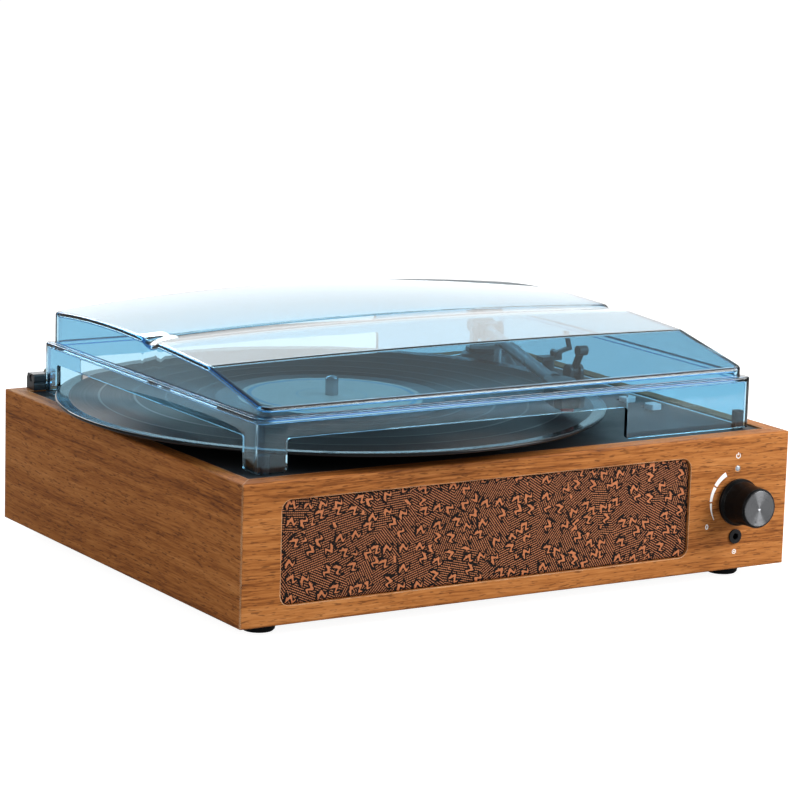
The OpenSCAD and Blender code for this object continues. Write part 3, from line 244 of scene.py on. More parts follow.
def colour_ramp(tree, value, *stops):
    """A ramp through (place, colour) stops."""
    node = add(tree, "ValToRGB", {0: value})
    bands = node.color_ramp.elements
    while len(bands) < len(stops):
        bands.new(1.0)
    for band, (place, tint) in zip(bands, stops):
        band.position = place
        band.color = tint
    return node.outputs[0]


def link_finish(tree, principled, tint, rough, height, depth, bevel=0.0):
    """Links colour, roughness and, through Bump over softened edges, height times depth."""
    tree.links.new(tint, principled.inputs["Base Color"])
    tree.links.new(rough, principled.inputs["Roughness"])
    bump = add(tree, "Bump", {"Height": height, "Distance": depth, "Strength": 1.0})
    if bevel:
        soft = add(tree, "Bevel", {"Radius": bevel}, samples=4)
        tree.links.new(soft.outputs[0], bump.inputs["Normal"])
    tree.links.new(bump.outputs[0], principled.inputs["Normal"])


# Edge mask for wear and, on the walnut and the knob, for a painted highlight: where a small bevel
# would turn the normal, broken up by noise
edge_wear_and_highlight, given, gives = shader_group(
    "edge_wear_and_highlight", {"Width": 0.0005, "Patchiness": 0.5}, {"Mask": "Float"}
)
tree = edge_wear_and_highlight
soft = add(tree, "Bevel", {"Radius": given["Width"]}, samples=4)
geometry = add(tree, "NewGeometry")
facing = add(
    tree, "VectorMath", {0: soft.outputs[0], 1: geometry.outputs["Normal"]}, operation="DOT_PRODUCT"
)
turned = smooth_step(tree, calc(tree, "SUBTRACT", 1.0, facing.outputs["Value"]), 0.02, 0.18)
patches = noise(tree, add(tree, "TexCoord").outputs["Object"], 160.0, 3.0, 0.6)
kept = smooth_step(tree, patches, calc(tree, "MULTIPLY", given["Patchiness"], 0.8), 0.75)
tree.links.new(calc(tree, "MULTIPLY", turned, kept), gives["Mask"])

# Walnut figure: broad bands, streaks, fibres and pores, all drawn out along the grain
walnut_figure, given, gives = shader_group(
    "walnut_figure", {"Grain": (1.0, 0.0, 0.0), "Shift": 0.0},
    {"Color": "Color", "Roughness": "Float", "Height": "Float"},
)
tree = walnut_figure
spot = add(tree, "TexCoord").outputs["Object"]
along = add(tree, "VectorMath", {0: spot, 1: given["Grain"]}, operation="DOT_PRODUCT")
along = along.outputs["Value"]
flat = vector_calc(
    tree, "SUBTRACT", spot,
    add(tree, "VectorMath", {0: given["Grain"], "Scale": along}, operation="SCALE").outputs[0],
)
sway = calc(tree, "MULTIPLY_ADD", noise(tree, spot, 6.0, 1.0), 0.010, given["Shift"])
flat = vector_calc(tree, "ADD", flat, add(tree, "CombineXYZ", {2: sway}).outputs[0])


def drawn_out(stretch):
    """The place with its part along the grain shortened by stretch, so that noise runs along it."""
    run = add(tree, "VectorMath", {0: given["Grain"]}, operation="SCALE")
    tree.links.new(calc(tree, "MULTIPLY", along, stretch), run.inputs["Scale"])
    return vector_calc(tree, "ADD", flat, run.outputs[0])


bands = noise(tree, drawn_out(0.05), 75.0, 1.0, 0.5)
streaks = noise(tree, drawn_out(0.022), 260.0, 2.0, 0.6)
fibres = noise(tree, drawn_out(0.05), 1000.0, 2.0, 0.7)
pores = noise(tree, drawn_out(0.14), 1400.0, 1.0, 0.5)
tone = calc(tree, "MULTIPLY_ADD", bands, 0.30, calc(tree, "MULTIPLY", streaks, 0.27))
tone = calc(tree, "MULTIPLY_ADD", fibres, 0.43, tone)
wood = colour_ramp(
    tree, tone,
    (0.34, colour(0.100, 0.031, 0.008)), (0.43, colour(0.240, 0.077, 0.018)),
    (0.50, colour(0.370, 0.131, 0.032)), (0.57, colour(0.445, 0.170, 0.046)),
    (0.68, colour(0.560, 0.238, 0.076)),
)
pits = smooth_step(tree, pores, 0.58, 0.70)
wood = mix_colour(tree, calc(tree, "MULTIPLY", pits, 0.60), wood, colour(0.070, 0.022, 0.008))
tree.links.new(wood, gives["Color"])
tree.links.new(calc(tree, "MULTIPLY_ADD", fibres, 0.25, 0.42), gives["Roughness"])
tree.links.new(
    calc(tree, "SUBTRACT", calc(tree, "MULTIPLY", fibres, 0.4), pits), gives["Height"]
)

WORN_WOOD_AND_EDGE_HIGHLIGHT = colour(0.88, 0.60, 0.38)


def walnut_veneer(name, grain, shift):
    """Oiled veneer with its grain along the panel."""
    finish, tree, principled = new_material(name)
    figure = place_group(tree, walnut_figure, Grain=grain, Shift=shift)
    wear_and_highlight = place_group(tree, edge_wear_and_highlight, Width=0.0011, Patchiness=0.1)["Mask"]
    # A pale line painted along every arris: part wear, part painted highlight on the edges.
    tint = mix_colour(tree, calc(tree, "MULTIPLY", wear_and_highlight, 0.8), figure["Color"], WORN_WOOD_AND_EDGE_HIGHLIGHT)
    principled.inputs["Specular IOR Level"].default_value = 0.08
    link_finish(
        tree, principled, tint, figure["Roughness"], figure["Height"], 0.00006, 0.0006
    )
    return finish


ALONG_X, ALONG_Y = (1.0, 0.0, 0.0), (0.0, 1.0, 0.0)
for panel, grain, shift in (
    ("front_panel", ALONG_X, 0.0), ("back_panel", ALONG_X, 0.41),
    ("left_panel", ALONG_Y, 0.83), ("right_panel", ALONG_Y, 1.37),
):
    dress(walnut_veneer("walnut_" + panel, grain, shift), panel)


# ---- Bottom board and battens ------------------------------------------------
# A birch plywood board with vent slots closes the underside, and two pine battens
# inside the panels carry the deck. Both are left bare.
def bare_wood(name, pale, dark, grain, scale):
    finish, tree, principled = new_material(name)
    spot = add(tree, "TexCoord").outputs["Object"]
    stretch = [0.08 if step else 1.0 for step in grain]
    lines = noise(tree, vector_calc(tree, "MULTIPLY", spot, stretch), scale, 4.0, 0.6)
    tint = mix_colour(tree, smooth_step(tree, lines, 0.35, 0.68), dark, pale)
    rough = calc(tree, "MULTIPLY_ADD", lines, 0.2, 0.55)
    link_finish(tree, principled, tint, rough, lines, 0.0001, 0.0004)
    return finish


birch = bare_wood(
    "birch_plywood", colour(0.46, 0.31, 0.17), colour(0.28, 0.17, 0.085), ALONG_X, 420.0
)
pine = bare_wood("pine", colour(0.62, 0.42, 0.22), colour(0.42, 0.25, 0.11), ALONG_Y, 260.0)
dress(birch, "bottom_board")
dress(pine, "side_cleats")


# ---- Feet, buffers and grommets ----------------------------------------------
# Soft matt black rubber: screwed-on feet, the buffers in the cover's front corners, the
# motor's mounts and the belt.
def dimmed(tree, tint, share):
    """The tint with each of its parts multiplied by share."""
    shares = add(tree, "CombineXYZ", {0: share, 1: share, 2: share}).outputs[0]
    return vector_calc(tree, "MULTIPLY", tint, shares)


skin, given, gives = shader_group(
    "moulded_skin",
    {"Tint": colour(0.02, 0.02, 0.02), "Variation": 0.3, "Grain": 900.0, "Rough": 0.5, "Dust": 0.1},
    {"Color": "Color", "Roughness": "Float", "Height": "Float"},
)
tree = skin
spot = add(tree, "TexCoord").outputs["Object"]
clouds = noise(tree, spot, 35.0, 3.0, 0.6)
grain = noise(tree, spot, given["Grain"], 2.0, 0.6)
lift = calc(tree, "MULTIPLY", calc(tree, "SUBTRACT", clouds, 0.5), given["Variation"])
tinted = dimmed(tree, given["Tint"], calc(tree, "ADD", 1.0, lift))
above = add(tree, "SeparateXYZ", {0: add(tree, "NewGeometry").outputs["Normal"]}).outputs[2]
specks = smooth_step(tree, noise(tree, spot, 1500.0, 2.0, 0.7), 0.55, 0.8)
settled = calc(
    tree, "MULTIPLY", calc(tree, "MAXIMUM", above, 0.0), calc(tree, "ADD", specks, clouds)
)
dusty = calc(tree, "MULTIPLY", settled, given["Dust"])
tree.links.new(mix_colour(tree, dusty, tinted, colour(0.42, 0.41, 0.39)), gives["Color"])
rough = calc(tree, "MULTIPLY_ADD", calc(tree, "SUBTRACT", clouds, 0.5), 0.25, given["Rough"])
tree.links.new(calc(tree, "ADD", rough, dusty), gives["Roughness"])
tree.links.new(grain, gives["Height"])


def moulding(
    name, tint, rough, depth=0.00002, grain=900.0, variation=0.3, dust=0.06, bevel=0.0003,
    gloss=0.5,
):
    """A moulded plastic or rubber finish, its edges rubbed a little paler."""
    finish, tree, principled = new_material(name)
    made = place_group(
        tree, skin, Tint=tint, Variation=variation, Grain=grain, Rough=rough, Dust=dust
    )
    wear_and_highlight = place_group(tree, edge_wear_and_highlight, Width=2 * bevel, Patchiness=0.6)["Mask"]
    worn = colour(*[min(1.0, 1.6 * part + 0.02) for part in tint[:3]])
    shade = mix_colour(tree, calc(tree, "MULTIPLY", wear_and_highlight, 0.5), made["Color"], worn)
    principled.inputs["Specular IOR Level"].default_value = gloss
    link_finish(tree, principled, shade, made["Roughness"], made["Height"], depth, bevel)
    return finish


rubber = moulding(
    "black_rubber", colour(0.007, 0.008, 0.010), 0.62, 0.00004, 700.0, dust=0.01, gloss=0.12
)
dress(
    rubber, "foot_front_left", "foot_front_right", "foot_back_left", "foot_back_right",
    "cover_bumpers", "motor_grommets", "drive_belt",
)


# ---- Turned and drawn metal --------------------------------------------------
# Screws, pins, the lift rail and the motor's can are drawn steel, the spindle is
# polished, and the bearing and pulley are brass. All show tool marks and bright edges.
tool_marks, given, gives = shader_group(
    "tool_marks", {"Tint": colour(0.6, 0.6, 0.62), "Rough": 0.3, "Fineness": 2500.0},
    {"Color": "Color", "Roughness": "Float", "Height": "Float"},
)
tree = tool_marks
spot = add(tree, "TexCoord").outputs["Object"]
turned = vector_calc(tree, "MULTIPLY", spot, (0.05, 0.05, 1.0))
rings = noise(tree, turned, given["Fineness"], 2.0)
stains = noise(tree, spot, 120.0, 3.0, 0.6)
shade = calc(tree, "MULTIPLY_ADD", stains, 0.25, 0.875)
tree.links.new(dimmed(tree, given["Tint"], shade), gives["Color"])
rough = calc(tree, "MULTIPLY_ADD", calc(tree, "SUBTRACT", rings, 0.5), 0.2, given["Rough"])
tree.links.new(calc(tree, "MULTIPLY_ADD", stains, 0.08, rough), gives["Roughness"])
tree.links.new(rings, gives["Height"])


def bare_metal(name, tint, rough):
    finish, tree, principled = new_material(name)
    made = place_group(tree, tool_marks, Tint=tint, Rough=rough)
    wear_and_highlight = place_group(tree, edge_wear_and_highlight, Width=0.0003, Patchiness=0.3)["Mask"]
    bright = colour(*[min(1.0, 1.25 * part) for part in tint[:3]])
    shade = mix_colour(tree, wear_and_highlight, made["Color"], bright)
    principled.inputs["Metallic"].default_value = 1.0
    link_finish(tree, principled, shade, made["Roughness"], made["Height"], 0.00001, 0.0002)
    return finish


steel = bare_metal("drawn_steel", colour(0.60, 0.61, 0.63), 0.28)
brass = bare_metal("turned_brass", colour(0.78, 0.57, 0.25), 0.25)
dress(
    steel, "case_screws", "arm_pivot_pin", "cue_lift", "pot_shaft", "hinge_pins", "drive_motor"
)
dress(bare_metal("polished_steel", colour(0.45, 0.46, 0.48), 0.12), "spindle_shaft")
dress(brass, "bearing_well", "motor_pulley")


# ---- Deck --------------------------------------------------------------------
# One black moulded plate, finely textured, screwed down on the battens. Its round
# well takes the platter, and slots let the switches and the cue lever through.
deck_black = moulding(
    "textured_deck", colour(0.011, 0.012, 0.014), 0.48, 0.00006, 1300.0, dust=0.02, bevel=0.0005,
    gloss=0.15,
)
dress(deck_black, "deck_plate")


# ---- Grille ------------------------------------------------------------------
# A slotted black frame pushed into the front's pocket, with a speaker cloth stretched
# over it and turned back round its edge. The cloth is a copper and black jacquard of
# short bent ticks with dark edges, scattered on a fine diagonal ground.
TICK_PITCH = 104.0
SQUIGGLE = 0.42
HATCH_LINES = 840.0

frame_black = moulding("grille_frame_black", colour(0.012, 0.012, 0.013), 0.6)
dress(frame_black, "grille_frame")


def mesh_of(name, points, faces, crease=32.0):
    """A mesh from points in metres, smooth but for edges sharper than crease degrees."""
    mesh = bpy.data.meshes.new(name)
    mesh.from_pydata([tuple(point) for point in points], [], faces)
    shape = bmesh.new()
    shape.from_mesh(mesh)
    bmesh.ops.remove_doubles(shape, verts=shape.verts, dist=1e-7)
    bmesh.ops.recalc_face_normals(shape, faces=shape.faces)
    for edge in shape.edges:
        edge.smooth = edge.calc_face_angle(math.pi) < math.radians(crease)
    for face in shape.faces:
        face.smooth = True
    shape.to_mesh(mesh)
    shape.free()
    return mesh


def make_piece(name, mesh, finish, body):
    """A piece of the player in its place, riding on its body."""
    piece = bpy.data.objects.new(name, mesh)
    bpy.context.scene.collection.objects.link(piece)
    mesh.materials.append(finish)
    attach(piece, body)
    return piece


def jacquard(name):
    finish, tree, principled = new_material(name)
    spot = add(tree, "SeparateXYZ", {0: add(tree, "TexCoord").outputs["Object"]}).outputs
    flat = add(tree, "CombineXYZ", {0: spot[0], 1: spot[2]}).outputs[0]

    # One tick in each cell, turned by the cell's own colour
    cells = add(tree, "TexVoronoi", {"Vector": flat, "Scale": TICK_PITCH, "Randomness": 0.62})
    from_middle = vector_calc(
        tree, "MULTIPLY", vector_calc(tree, "SUBTRACT", flat, cells.outputs["Position"]),
        (TICK_PITCH,) * 3,
    )
    chance = add(tree, "SeparateColor", {0: cells.outputs["Color"]}).outputs
    swing = calc(tree, "MULTIPLY_ADD", chance[0], 2.2, -1.1)
    swing = calc(tree, "MULTIPLY_ADD", calc(tree, "GREATER_THAN", chance[1], 0.5), 1.6, swing)
    own = add(tree, "SeparateXYZ", {0: add(
        tree, "VectorRotate", {"Vector": from_middle, "Angle": swing}, rotation_type="Z_AXIS"
    ).outputs[0]}).outputs
    wave = calc(tree, "SINE", calc(tree, "MULTIPLY", own[0], 2 * math.pi / SQUIGGLE))
    off_line = calc(tree, "ABSOLUTE", calc(tree, "MULTIPLY_ADD", wave, 0.12, own[1]))
    off_end = calc(tree, "SUBTRACT", calc(tree, "ABSOLUTE", own[0]), 0.18)
    ragged = calc(tree, "MULTIPLY_ADD", noise(tree, flat, 1500.0, 1.0), 0.16, -0.08)
    away = calc(tree, "ADD", calc(tree, "MAXIMUM", off_line, off_end), ragged)
    away = calc(tree, "MULTIPLY_ADD", own[0], 0.18, away)
    tick = smooth_step(tree, away, 0.105, 0.080)
    rim = smooth_step(tree, away, 0.245, 0.215)

    # The ground's twill leans one way or the other from patch to patch
    patch = add(tree, "TexVoronoi", {"Vector": flat, "Scale": 47.0, "Randomness": 1.0})
    lean = add(tree, "SeparateColor", {0: patch.outputs["Color"]}).outputs[0]
    lean = calc(tree, "MULTIPLY_ADD", lean, 2.6, 0.25)
    turned = add(tree, "SeparateXYZ", {0: add(
        tree, "VectorRotate", {"Vector": flat, "Angle": lean}, rotation_type="Z_AXIS"
    ).outputs[0]}).outputs
    twill = calc(tree, "SINE", calc(tree, "MULTIPLY", turned[0], 2 * math.pi * HATCH_LINES))
    knots = calc(tree, "SINE", calc(tree, "MULTIPLY", turned[1], 2 * math.pi * HATCH_LINES))
    twill = calc(tree, "MULTIPLY_ADD", knots, 0.35, twill)
    uneven = calc(tree, "MULTIPLY_ADD", noise(tree, flat, 1500.0, 1.0), 2.4, -1.2)
    twill = calc(tree, "ADD", twill, uneven)
    thread = smooth_step(tree, twill, 0.30, 0.65)
    shade = noise(tree, flat, 25.0, 2.0)

    ground = mix_colour(tree, thread, colour(0.004, 0.002, 0.002), colour(0.46, 0.172, 0.074))
    shaded = calc(tree, "MULTIPLY", shade, 0.15)
    ground = mix_colour(tree, shaded, ground, colour(0.035, 0.018, 0.012))
    cloth = mix_colour(tree, rim, ground, colour(0.003, 0.002, 0.002))
    lit = mix_colour(tree, shade, colour(0.40, 0.131, 0.051), colour(0.58, 0.209, 0.088))
    cloth = mix_colour(tree, tick, cloth, lit)
    rough = calc(tree, "MULTIPLY_ADD", tick, -0.12, 0.80)
    principled.inputs["Specular IOR Level"].default_value = 0.15
    raised = calc(tree, "MULTIPLY_ADD", tick, 1.2, calc(tree, "MULTIPLY", thread, 0.35))
    link_finish(tree, principled, cloth, rough, raised, 0.00018)
    return finish


def cloth_outline(width, height, radius):
    """A rectangle with round corners, as points round its middle."""
    turns = 7
    points = []
    for side in range(4):
        middle = (
            (width / 2 - radius) * (1 if side in (0, 3) else -1),
            (height / 2 - radius) * (1 if side in (0, 1) else -1),
        )
        for step in range(turns):
            angle = math.pi / 2 * (side + step / (turns - 1))
            points.append((
                middle[0] + radius * math.cos(angle), middle[1] + radius * math.sin(angle)
            ))
    return points


CLOTH_HEM = 3.0 * MM
CLOTH_SAG = 0.12 * MM
low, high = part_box("grille_cloth")
wide, tall = high.x - low.x, high.z - low.z
middle = (low + high) / 2
random.seed(11)
waves = [
    (random.uniform(20, 70), random.uniform(40, 120), random.uniform(0, 6.28)) for _ in range(5)
]
rings, points, faces = 26, [], []
edge = cloth_outline(wide, tall, 5.4 * MM)
for ring in range(rings + 1):
    share = 1 - ring / rings
    for x, z in edge:
        px, pz = x * share, z * share
        dip = sum(math.sin(fx * px + fz * pz + phase) for fx, fz, phase in waves) / 5
        dip *= CLOTH_SAG * min(1.0, 3 * (1 - share))
        roll_in = 0.35 * MM if ring == 0 else 0.0
        points.append((middle.x + px, low.y + 0.02 * MM + roll_in + abs(dip), middle.z + pz))
count = len(edge)
for ring in range(rings):
    for k in range(count):
        a, b = ring * count + k, ring * count + (k + 1) % count
        faces.append((a, b, b + count, a + count))
hem = len(points)
for x, z in edge:
    points.append((middle.x + x * 1.0008, low.y + CLOTH_HEM, middle.z + z * 1.002))
faces += [(k, hem + k, hem + (k + 1) % count, (k + 1) % count) for k in range(count)]
cloth = make_piece(
    "speaker_cloth", mesh_of("speaker_cloth", points, faces, 80), jacquard("copper_jacquard"),
    "cabinet",
)
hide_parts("grille_cloth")


# ---- Speakers ----------------------------------------------------------------
# Two small full-range drivers behind the cloth: zinc-plated pressed steel baskets,
# black paper cones with a half-roll surround, and ferrite magnets.
basket = moulding("zinc_basket", colour(0.20, 0.205, 0.215), 0.38, 0.00002, 500.0)
paper_cone = moulding("cone_paper", colour(0.018, 0.017, 0.017), 0.85, 0.00012, 650.0, dust=0.0)
ferrite = moulding("ferrite", colour(0.045, 0.047, 0.052), 0.55, 0.00005, 800.0)
for side in ("left", "right"):
    dress(basket, side + "_speaker_basket")
    dress(paper_cone, side + "_speaker_cone")
    dress(ferrite, side + "_speaker_magnet")


# ---- Platter -----------------------------------------------------------------
# A black moulded platter with a turned rim turns on the brass bearing, under a ribbed
# rubber mat.
platter_black = moulding("platter_black", colour(0.016, 0.016, 0.018), 0.32, 0.00001, 300.0)
mat_black = moulding(
    "mat_rubber", colour(0.013, 0.013, 0.014), 0.7, 0.00008, 1100.0, dust=0.12, gloss=0.25
)
dress(platter_black, "platter")
dress(mat_black, "platter_mat")


# ---- Record ------------------------------------------------------------------
# A 12 inch pressing: gloss black vinyl with a raised bead at the rim, five bands of
# grooves with plain gaps between, a run-out area and a cream paper label.
GROOVE_PITCH = 0.00042
BANDS = (143.5, 126.5, 107.0, 88.5, 72.0, 62.0)
GAP_WIDTH, BAND_LEAD, BAND_SUNK = 1.3, 0.4, 0.04
GROOVE_LOW, LABEL_R, HOLE_R = 0.3, 50.0, 3.66
BEAD_ROUND = 0.9
LABEL_BAND, LABEL_LINE = (44.0, 46.8, 0.2), (19.0, 19.6, 0.1)


def revolve(profile, steps, centre):
    """A closed ring from (radius, height) points in millimetres, turned about the vertical."""
    points, faces = [], []
    for step in range(steps):
        angle = 2 * math.pi * step / steps
        for radius, height in profile:
            points.append(centre + Vector((
                radius * math.cos(angle), radius * math.sin(angle), height
            )) * MM)
    n = len(profile)
    for step in range(steps):
        a, b = step * n, (step + 1) % steps * n
        faces += [(a + k, b + k, b + (k + 1) % n, a + (k + 1) % n) for k in range(n)]
    return points, faces


low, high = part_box("vinyl_record")
record_centre = Vector(((low.x + high.x) / 2, (low.y + high.y) / 2, low.z))
RECORD_R = (high.x - low.x) / 2 / MM
RECORD_T = (high.z - low.z) / MM
top_face = [(RECORD_R - 3.2, RECORD_T - 0.10), (RECORD_R - 4.6, RECORD_T - GROOVE_LOW)]
flat_z = RECORD_T - GROOVE_LOW
for start, end in zip(BANDS, BANDS[1:]):
    end += GAP_WIDTH
    top_face += [
        (start, flat_z), (start - BAND_LEAD, flat_z - BAND_SUNK),
        (end + BAND_LEAD, flat_z - BAND_SUNK), (end, flat_z),
    ]
top_face += [(LABEL_R + 1.8, flat_z), (LABEL_R + 0.6, RECORD_T - 0.06)]
rim = [
    (RECORD_R - BEAD_ROUND * (1 - math.cos(a)), RECORD_T / 2 * (1 + math.sin(a)))
    for a in (math.radians(step) for step in range(-90, 91, 15))
]
profile = [(HOLE_R, 0.02), (LABEL_R, 0.02)]
profile += [(LABEL_R + 1.5, GROOVE_LOW), (RECORD_R - 4, GROOVE_LOW)]
profile += rim + top_face + [(LABEL_R, RECORD_T - 0.05), (HOLE_R, RECORD_T - 0.05)]
points, faces = revolve(profile, 256, record_centre)


def from_axis(tree, centre, plane):
    """The place as seen from a turned piece's centre, and its distance out from the axis."""
    spot = add(tree, "TexCoord").outputs["Object"]
    spot = vector_calc(tree, "SUBTRACT", spot, tuple(centre))
    out = vector_calc(tree, "MULTIPLY", spot, plane)
    return spot, add(tree, "VectorMath", {0: out}, operation="LENGTH").outputs["Value"]


def fine_rings(tree, radius, scale, detail, roughness=0.5):
    """Noise that changes only with the distance from the axis."""
    rings = add(
        tree, "TexNoise", {"Scale": scale, "Detail": detail, "Roughness": roughness},
        noise_dimensions="1D",
    )
    tree.links.new(radius, rings.inputs["W"])
    return rings.outputs["Fac"]


def brush_round(tree, principled, axis):
    """Stretches highlights across marks that run round this axis."""
    principled.inputs["Anisotropic"].default_value = 0.97
    principled.inputs["Anisotropic Rotation"].default_value = 0.25
    round_it = add(tree, "Tangent", direction_type="RADIAL", axis=axis)
    tree.links.new(round_it.outputs[0], principled.inputs["Tangent"])


vinyl, tree, principled = new_material("black_vinyl")
spot, radius = from_axis(tree, record_centre, (1, 1, 0))
ripple = calc(tree, "SINE", calc(tree, "MULTIPLY", radius, 2 * math.pi / GROOVE_PITCH))
loud = fine_rings(tree, radius, 900.0, 3.0, 0.7)
grooved = calc(tree, "MULTIPLY", calc(tree, "LESS_THAN", radius, BANDS[0] * MM),
               calc(tree, "GREATER_THAN", radius, BANDS[-1] * MM))
for gap in BANDS[1:-1]:
    away = calc(tree, "ABSOLUTE", calc(tree, "SUBTRACT", radius, (gap + GAP_WIDTH / 2) * MM))
    grooved = calc(tree, "MULTIPLY", grooved, calc(tree, "GREATER_THAN", away, GAP_WIDTH / 2 * MM))
dusty = smooth_step(tree, noise(tree, spot, 900.0, 3.0, 0.7), 0.62, 0.86)
tint = mix_colour(tree, loud, colour(0.0045, 0.0045, 0.005), colour(0.011, 0.011, 0.012))
tint = mix_colour(tree, calc(tree, "MULTIPLY", dusty, 0.03), tint, colour(0.3, 0.3, 0.3))
groove_rough = calc(tree, "MULTIPLY_ADD", loud, 0.16, 0.40)
plain_rough = calc(
    tree, "MULTIPLY_ADD", calc(tree, "LESS_THAN", radius, BANDS[0] * MM), 0.20, 0.10
)
rough = add(tree, "Mix", {0: grooved, 2: plain_rough, 3: groove_rough}).outputs[0]
principled.inputs["Specular IOR Level"].default_value = 0.15
brush_round(tree, principled, "Z")
cut = calc(tree, "MULTIPLY", calc(tree, "MULTIPLY_ADD", ripple, 0.3, loud), grooved)
link_finish(tree, principled, tint, rough, cut, 0.00004)
disc = make_piece("record_disc", mesh_of("record_disc", points, faces), vinyl, "platter")
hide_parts("vinyl_record")


def printed_ring(tree, radius, inner, outer, soft):
    """1 between two distances in millimetres from the axis, with soft edges."""
    return calc(
        tree, "MULTIPLY", smooth_step(tree, radius, inner * MM, (inner + soft) * MM),
        smooth_step(tree, radius, outer * MM, (outer - soft) * MM),
    )


label_paper, tree, principled = new_material("label_paper")
spot, radius = from_axis(tree, record_centre, (1, 1, 0))
pulp = noise(tree, spot, 700.0, 4.0, 0.65)
cream = mix_colour(tree, pulp, colour(0.38, 0.37, 0.34), colour(0.50, 0.49, 0.46))
band, line = (printed_ring(tree, radius, *ring) for ring in (LABEL_BAND, LABEL_LINE))
printed_blue = calc(tree, "MAXIMUM", band, line)
tint = mix_colour(tree, printed_blue, cream, colour(0.16, 0.30, 0.40))
rough = calc(tree, "MULTIPLY_ADD", pulp, 0.2, 0.5)
link_finish(tree, principled, tint, rough, pulp, 0.00003)
paper_top = RECORD_T - 0.005
label_profile = [
    (HOLE_R + 0.05, RECORD_T - 0.05), (LABEL_R - 0.3, RECORD_T - 0.05),
    (LABEL_R - 0.3, paper_top - 0.01), (LABEL_R - 0.5, paper_top), (HOLE_R + 0.05, paper_top),
]
points, faces = revolve(label_profile, 128, record_centre)
make_piece(
    "record_label", mesh_of("record_label", points, faces), label_paper, "platter"
)


# ---- Tonearm -----------------------------------------------------------------
# A straight lacquered tube on a pivot block between the yoke's cheeks, with a moulded
# headshell, a cartridge with its red needle carrier, and a dark counterweight behind.
arm_black = moulding("arm_black", colour(0.016, 0.017, 0.019), 0.36, 0.00002, 1200.0)
lacquer = moulding("dark_lacquer", colour(0.030, 0.032, 0.036), 0.28, 0.00001, 400.0)
needle_red = moulding("needle_red", colour(0.62, 0.018, 0.028), 0.22, 0.00001, 500.0, 0.15)
dress(arm_black, "arm_base", "headshell", "arm_rest", "cue_bracket", "cue_lever", "cartridge")
dress(lacquer, "arm_tube", "arm_yoke", "counterweight", "arm_clip")
dress(needle_red, "stylus")

switch_grey = moulding("switch_grey", colour(0.50, 0.50, 0.51), 0.42, 0.00002, 900.0, 0.12)
dress(switch_grey, "speed_switch", "auto_stop_switch")


# ---- Volume knob -------------------------------------------------------------
# Gloss black turned aluminium with a spun face let into its end. The face's fine
# circular marks throw the light into two opposite fans. A sunk dot is the pointer.
knob_black, tree, principled = new_material("knob_black")
made = place_group(tree, skin, Tint=colour(0.004, 0.0045, 0.005), Variation=0.3, Grain=300.0,
                   Rough=0.30, Dust=0.0)
wear_and_highlight = place_group(tree, edge_wear_and_highlight, Width=0.0004, Patchiness=0.4)["Mask"]
# Painted highlight: the edges are paled to grey all round, partly rubbed and partly standing in for
# the bright ring at the face's rim.
shade = mix_colour(tree, calc(tree, "MULTIPLY", wear_and_highlight, 0.7), made["Color"], colour(0.5, 0.5, 0.51))
principled.inputs["Specular IOR Level"].default_value = 0.06
link_finish(tree, principled, shade, made["Roughness"], made["Height"], 0.000004, 0.0003)
dress(knob_black, "volume_knob")

spun, tree, principled = new_material("spun_face")
low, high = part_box("knob_face")
knob_axis = (low + high) / 2
spot, radius = from_axis(tree, knob_axis, (1, 0, 1))
marks = fine_rings(tree, radius, 5200.0, 2.0)
tint = mix_colour(tree, marks, colour(0.05, 0.052, 0.056), colour(0.28, 0.285, 0.295))
rough = calc(tree, "MULTIPLY_ADD", marks, 0.1, 0.22)
principled.inputs["Metallic"].default_value = 1.0
brush_round(tree, principled, "Y")
link_finish(tree, principled, tint, rough, marks, 0.000006)
dress(spun, "knob_face")
dress(moulding("pot_body", colour(0.35, 0.36, 0.37), 0.35), "potentiometer")


# ---- Light and socket --------------------------------------------------------
# A frosted light guide sits in a drilled hole over the knob. The audio socket below
# has a black bezel, and its sprung contact sleeve shows as a bright ring inside.
frosted = moulding(
    "frosted_light", colour(0.36, 0.40, 0.45), 0.18, 0.00001, 400.0, 0.4, bevel=0.0001
)
frosted.node_tree.nodes["Principled BSDF"].inputs["Coat Weight"].default_value = 0.5
dress(frosted, "power_light")
socket_black = moulding(
    "socket_black", colour(0.008, 0.008, 0.009), 0.25, 0.00001, 500.0, dust=0.0, gloss=0.2
)
dress(socket_black, "aux_socket")

low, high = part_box("aux_socket")
mouth = Vector(((low.x + high.x) / 2, low.y, (low.z + high.z) / 2))
SLEEVE = [(1.83, -0.25), (2.25, -0.05), (2.45, -0.05), (2.45, -0.5), (1.83, -3.0)]
points, faces = revolve(SLEEVE, 48, Vector())
points = [mouth + Vector((x, -z, y)) for x, y, z in points]
make_piece("socket_sleeve", mesh_of("socket_sleeve", points, faces), steel, "cabinet")


# ---- Printed marks -----------------------------------------------------------
# Thin white screen print on the front: a swelling arc of three strokes round the knob
# with a nought at its low end, a ring and bar over the light, and a ring and dot under
# the socket.
PRINT_T = 0.06
NOUGHT_LEFT, NOUGHT_DOWN = 19.3, 12.6
LIGHT_MARK_UP, SOCKET_MARK_DOWN = 7.0, 8.6
front_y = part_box("front_panel")[0].y
light_middle = sum(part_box("power_light"), Vector()) / 2


def stroke(centre, start, end, radius, thick_start, thick_end):
    """The outline of an arc whose width runs from one value to another; angles in degrees."""
    steps = 24
    outer, inner = [], []
    for step in range(steps + 1):
        share = step / steps
        angle = math.radians(start + (end - start) * share)
        half = (thick_start + (thick_end - thick_start) * share) / 2
        for edge, r in ((outer, radius + half), (inner, radius - half)):
            edge.append((centre[0] + r * math.cos(angle), centre[1] + r * math.sin(angle)))
    return outer, inner


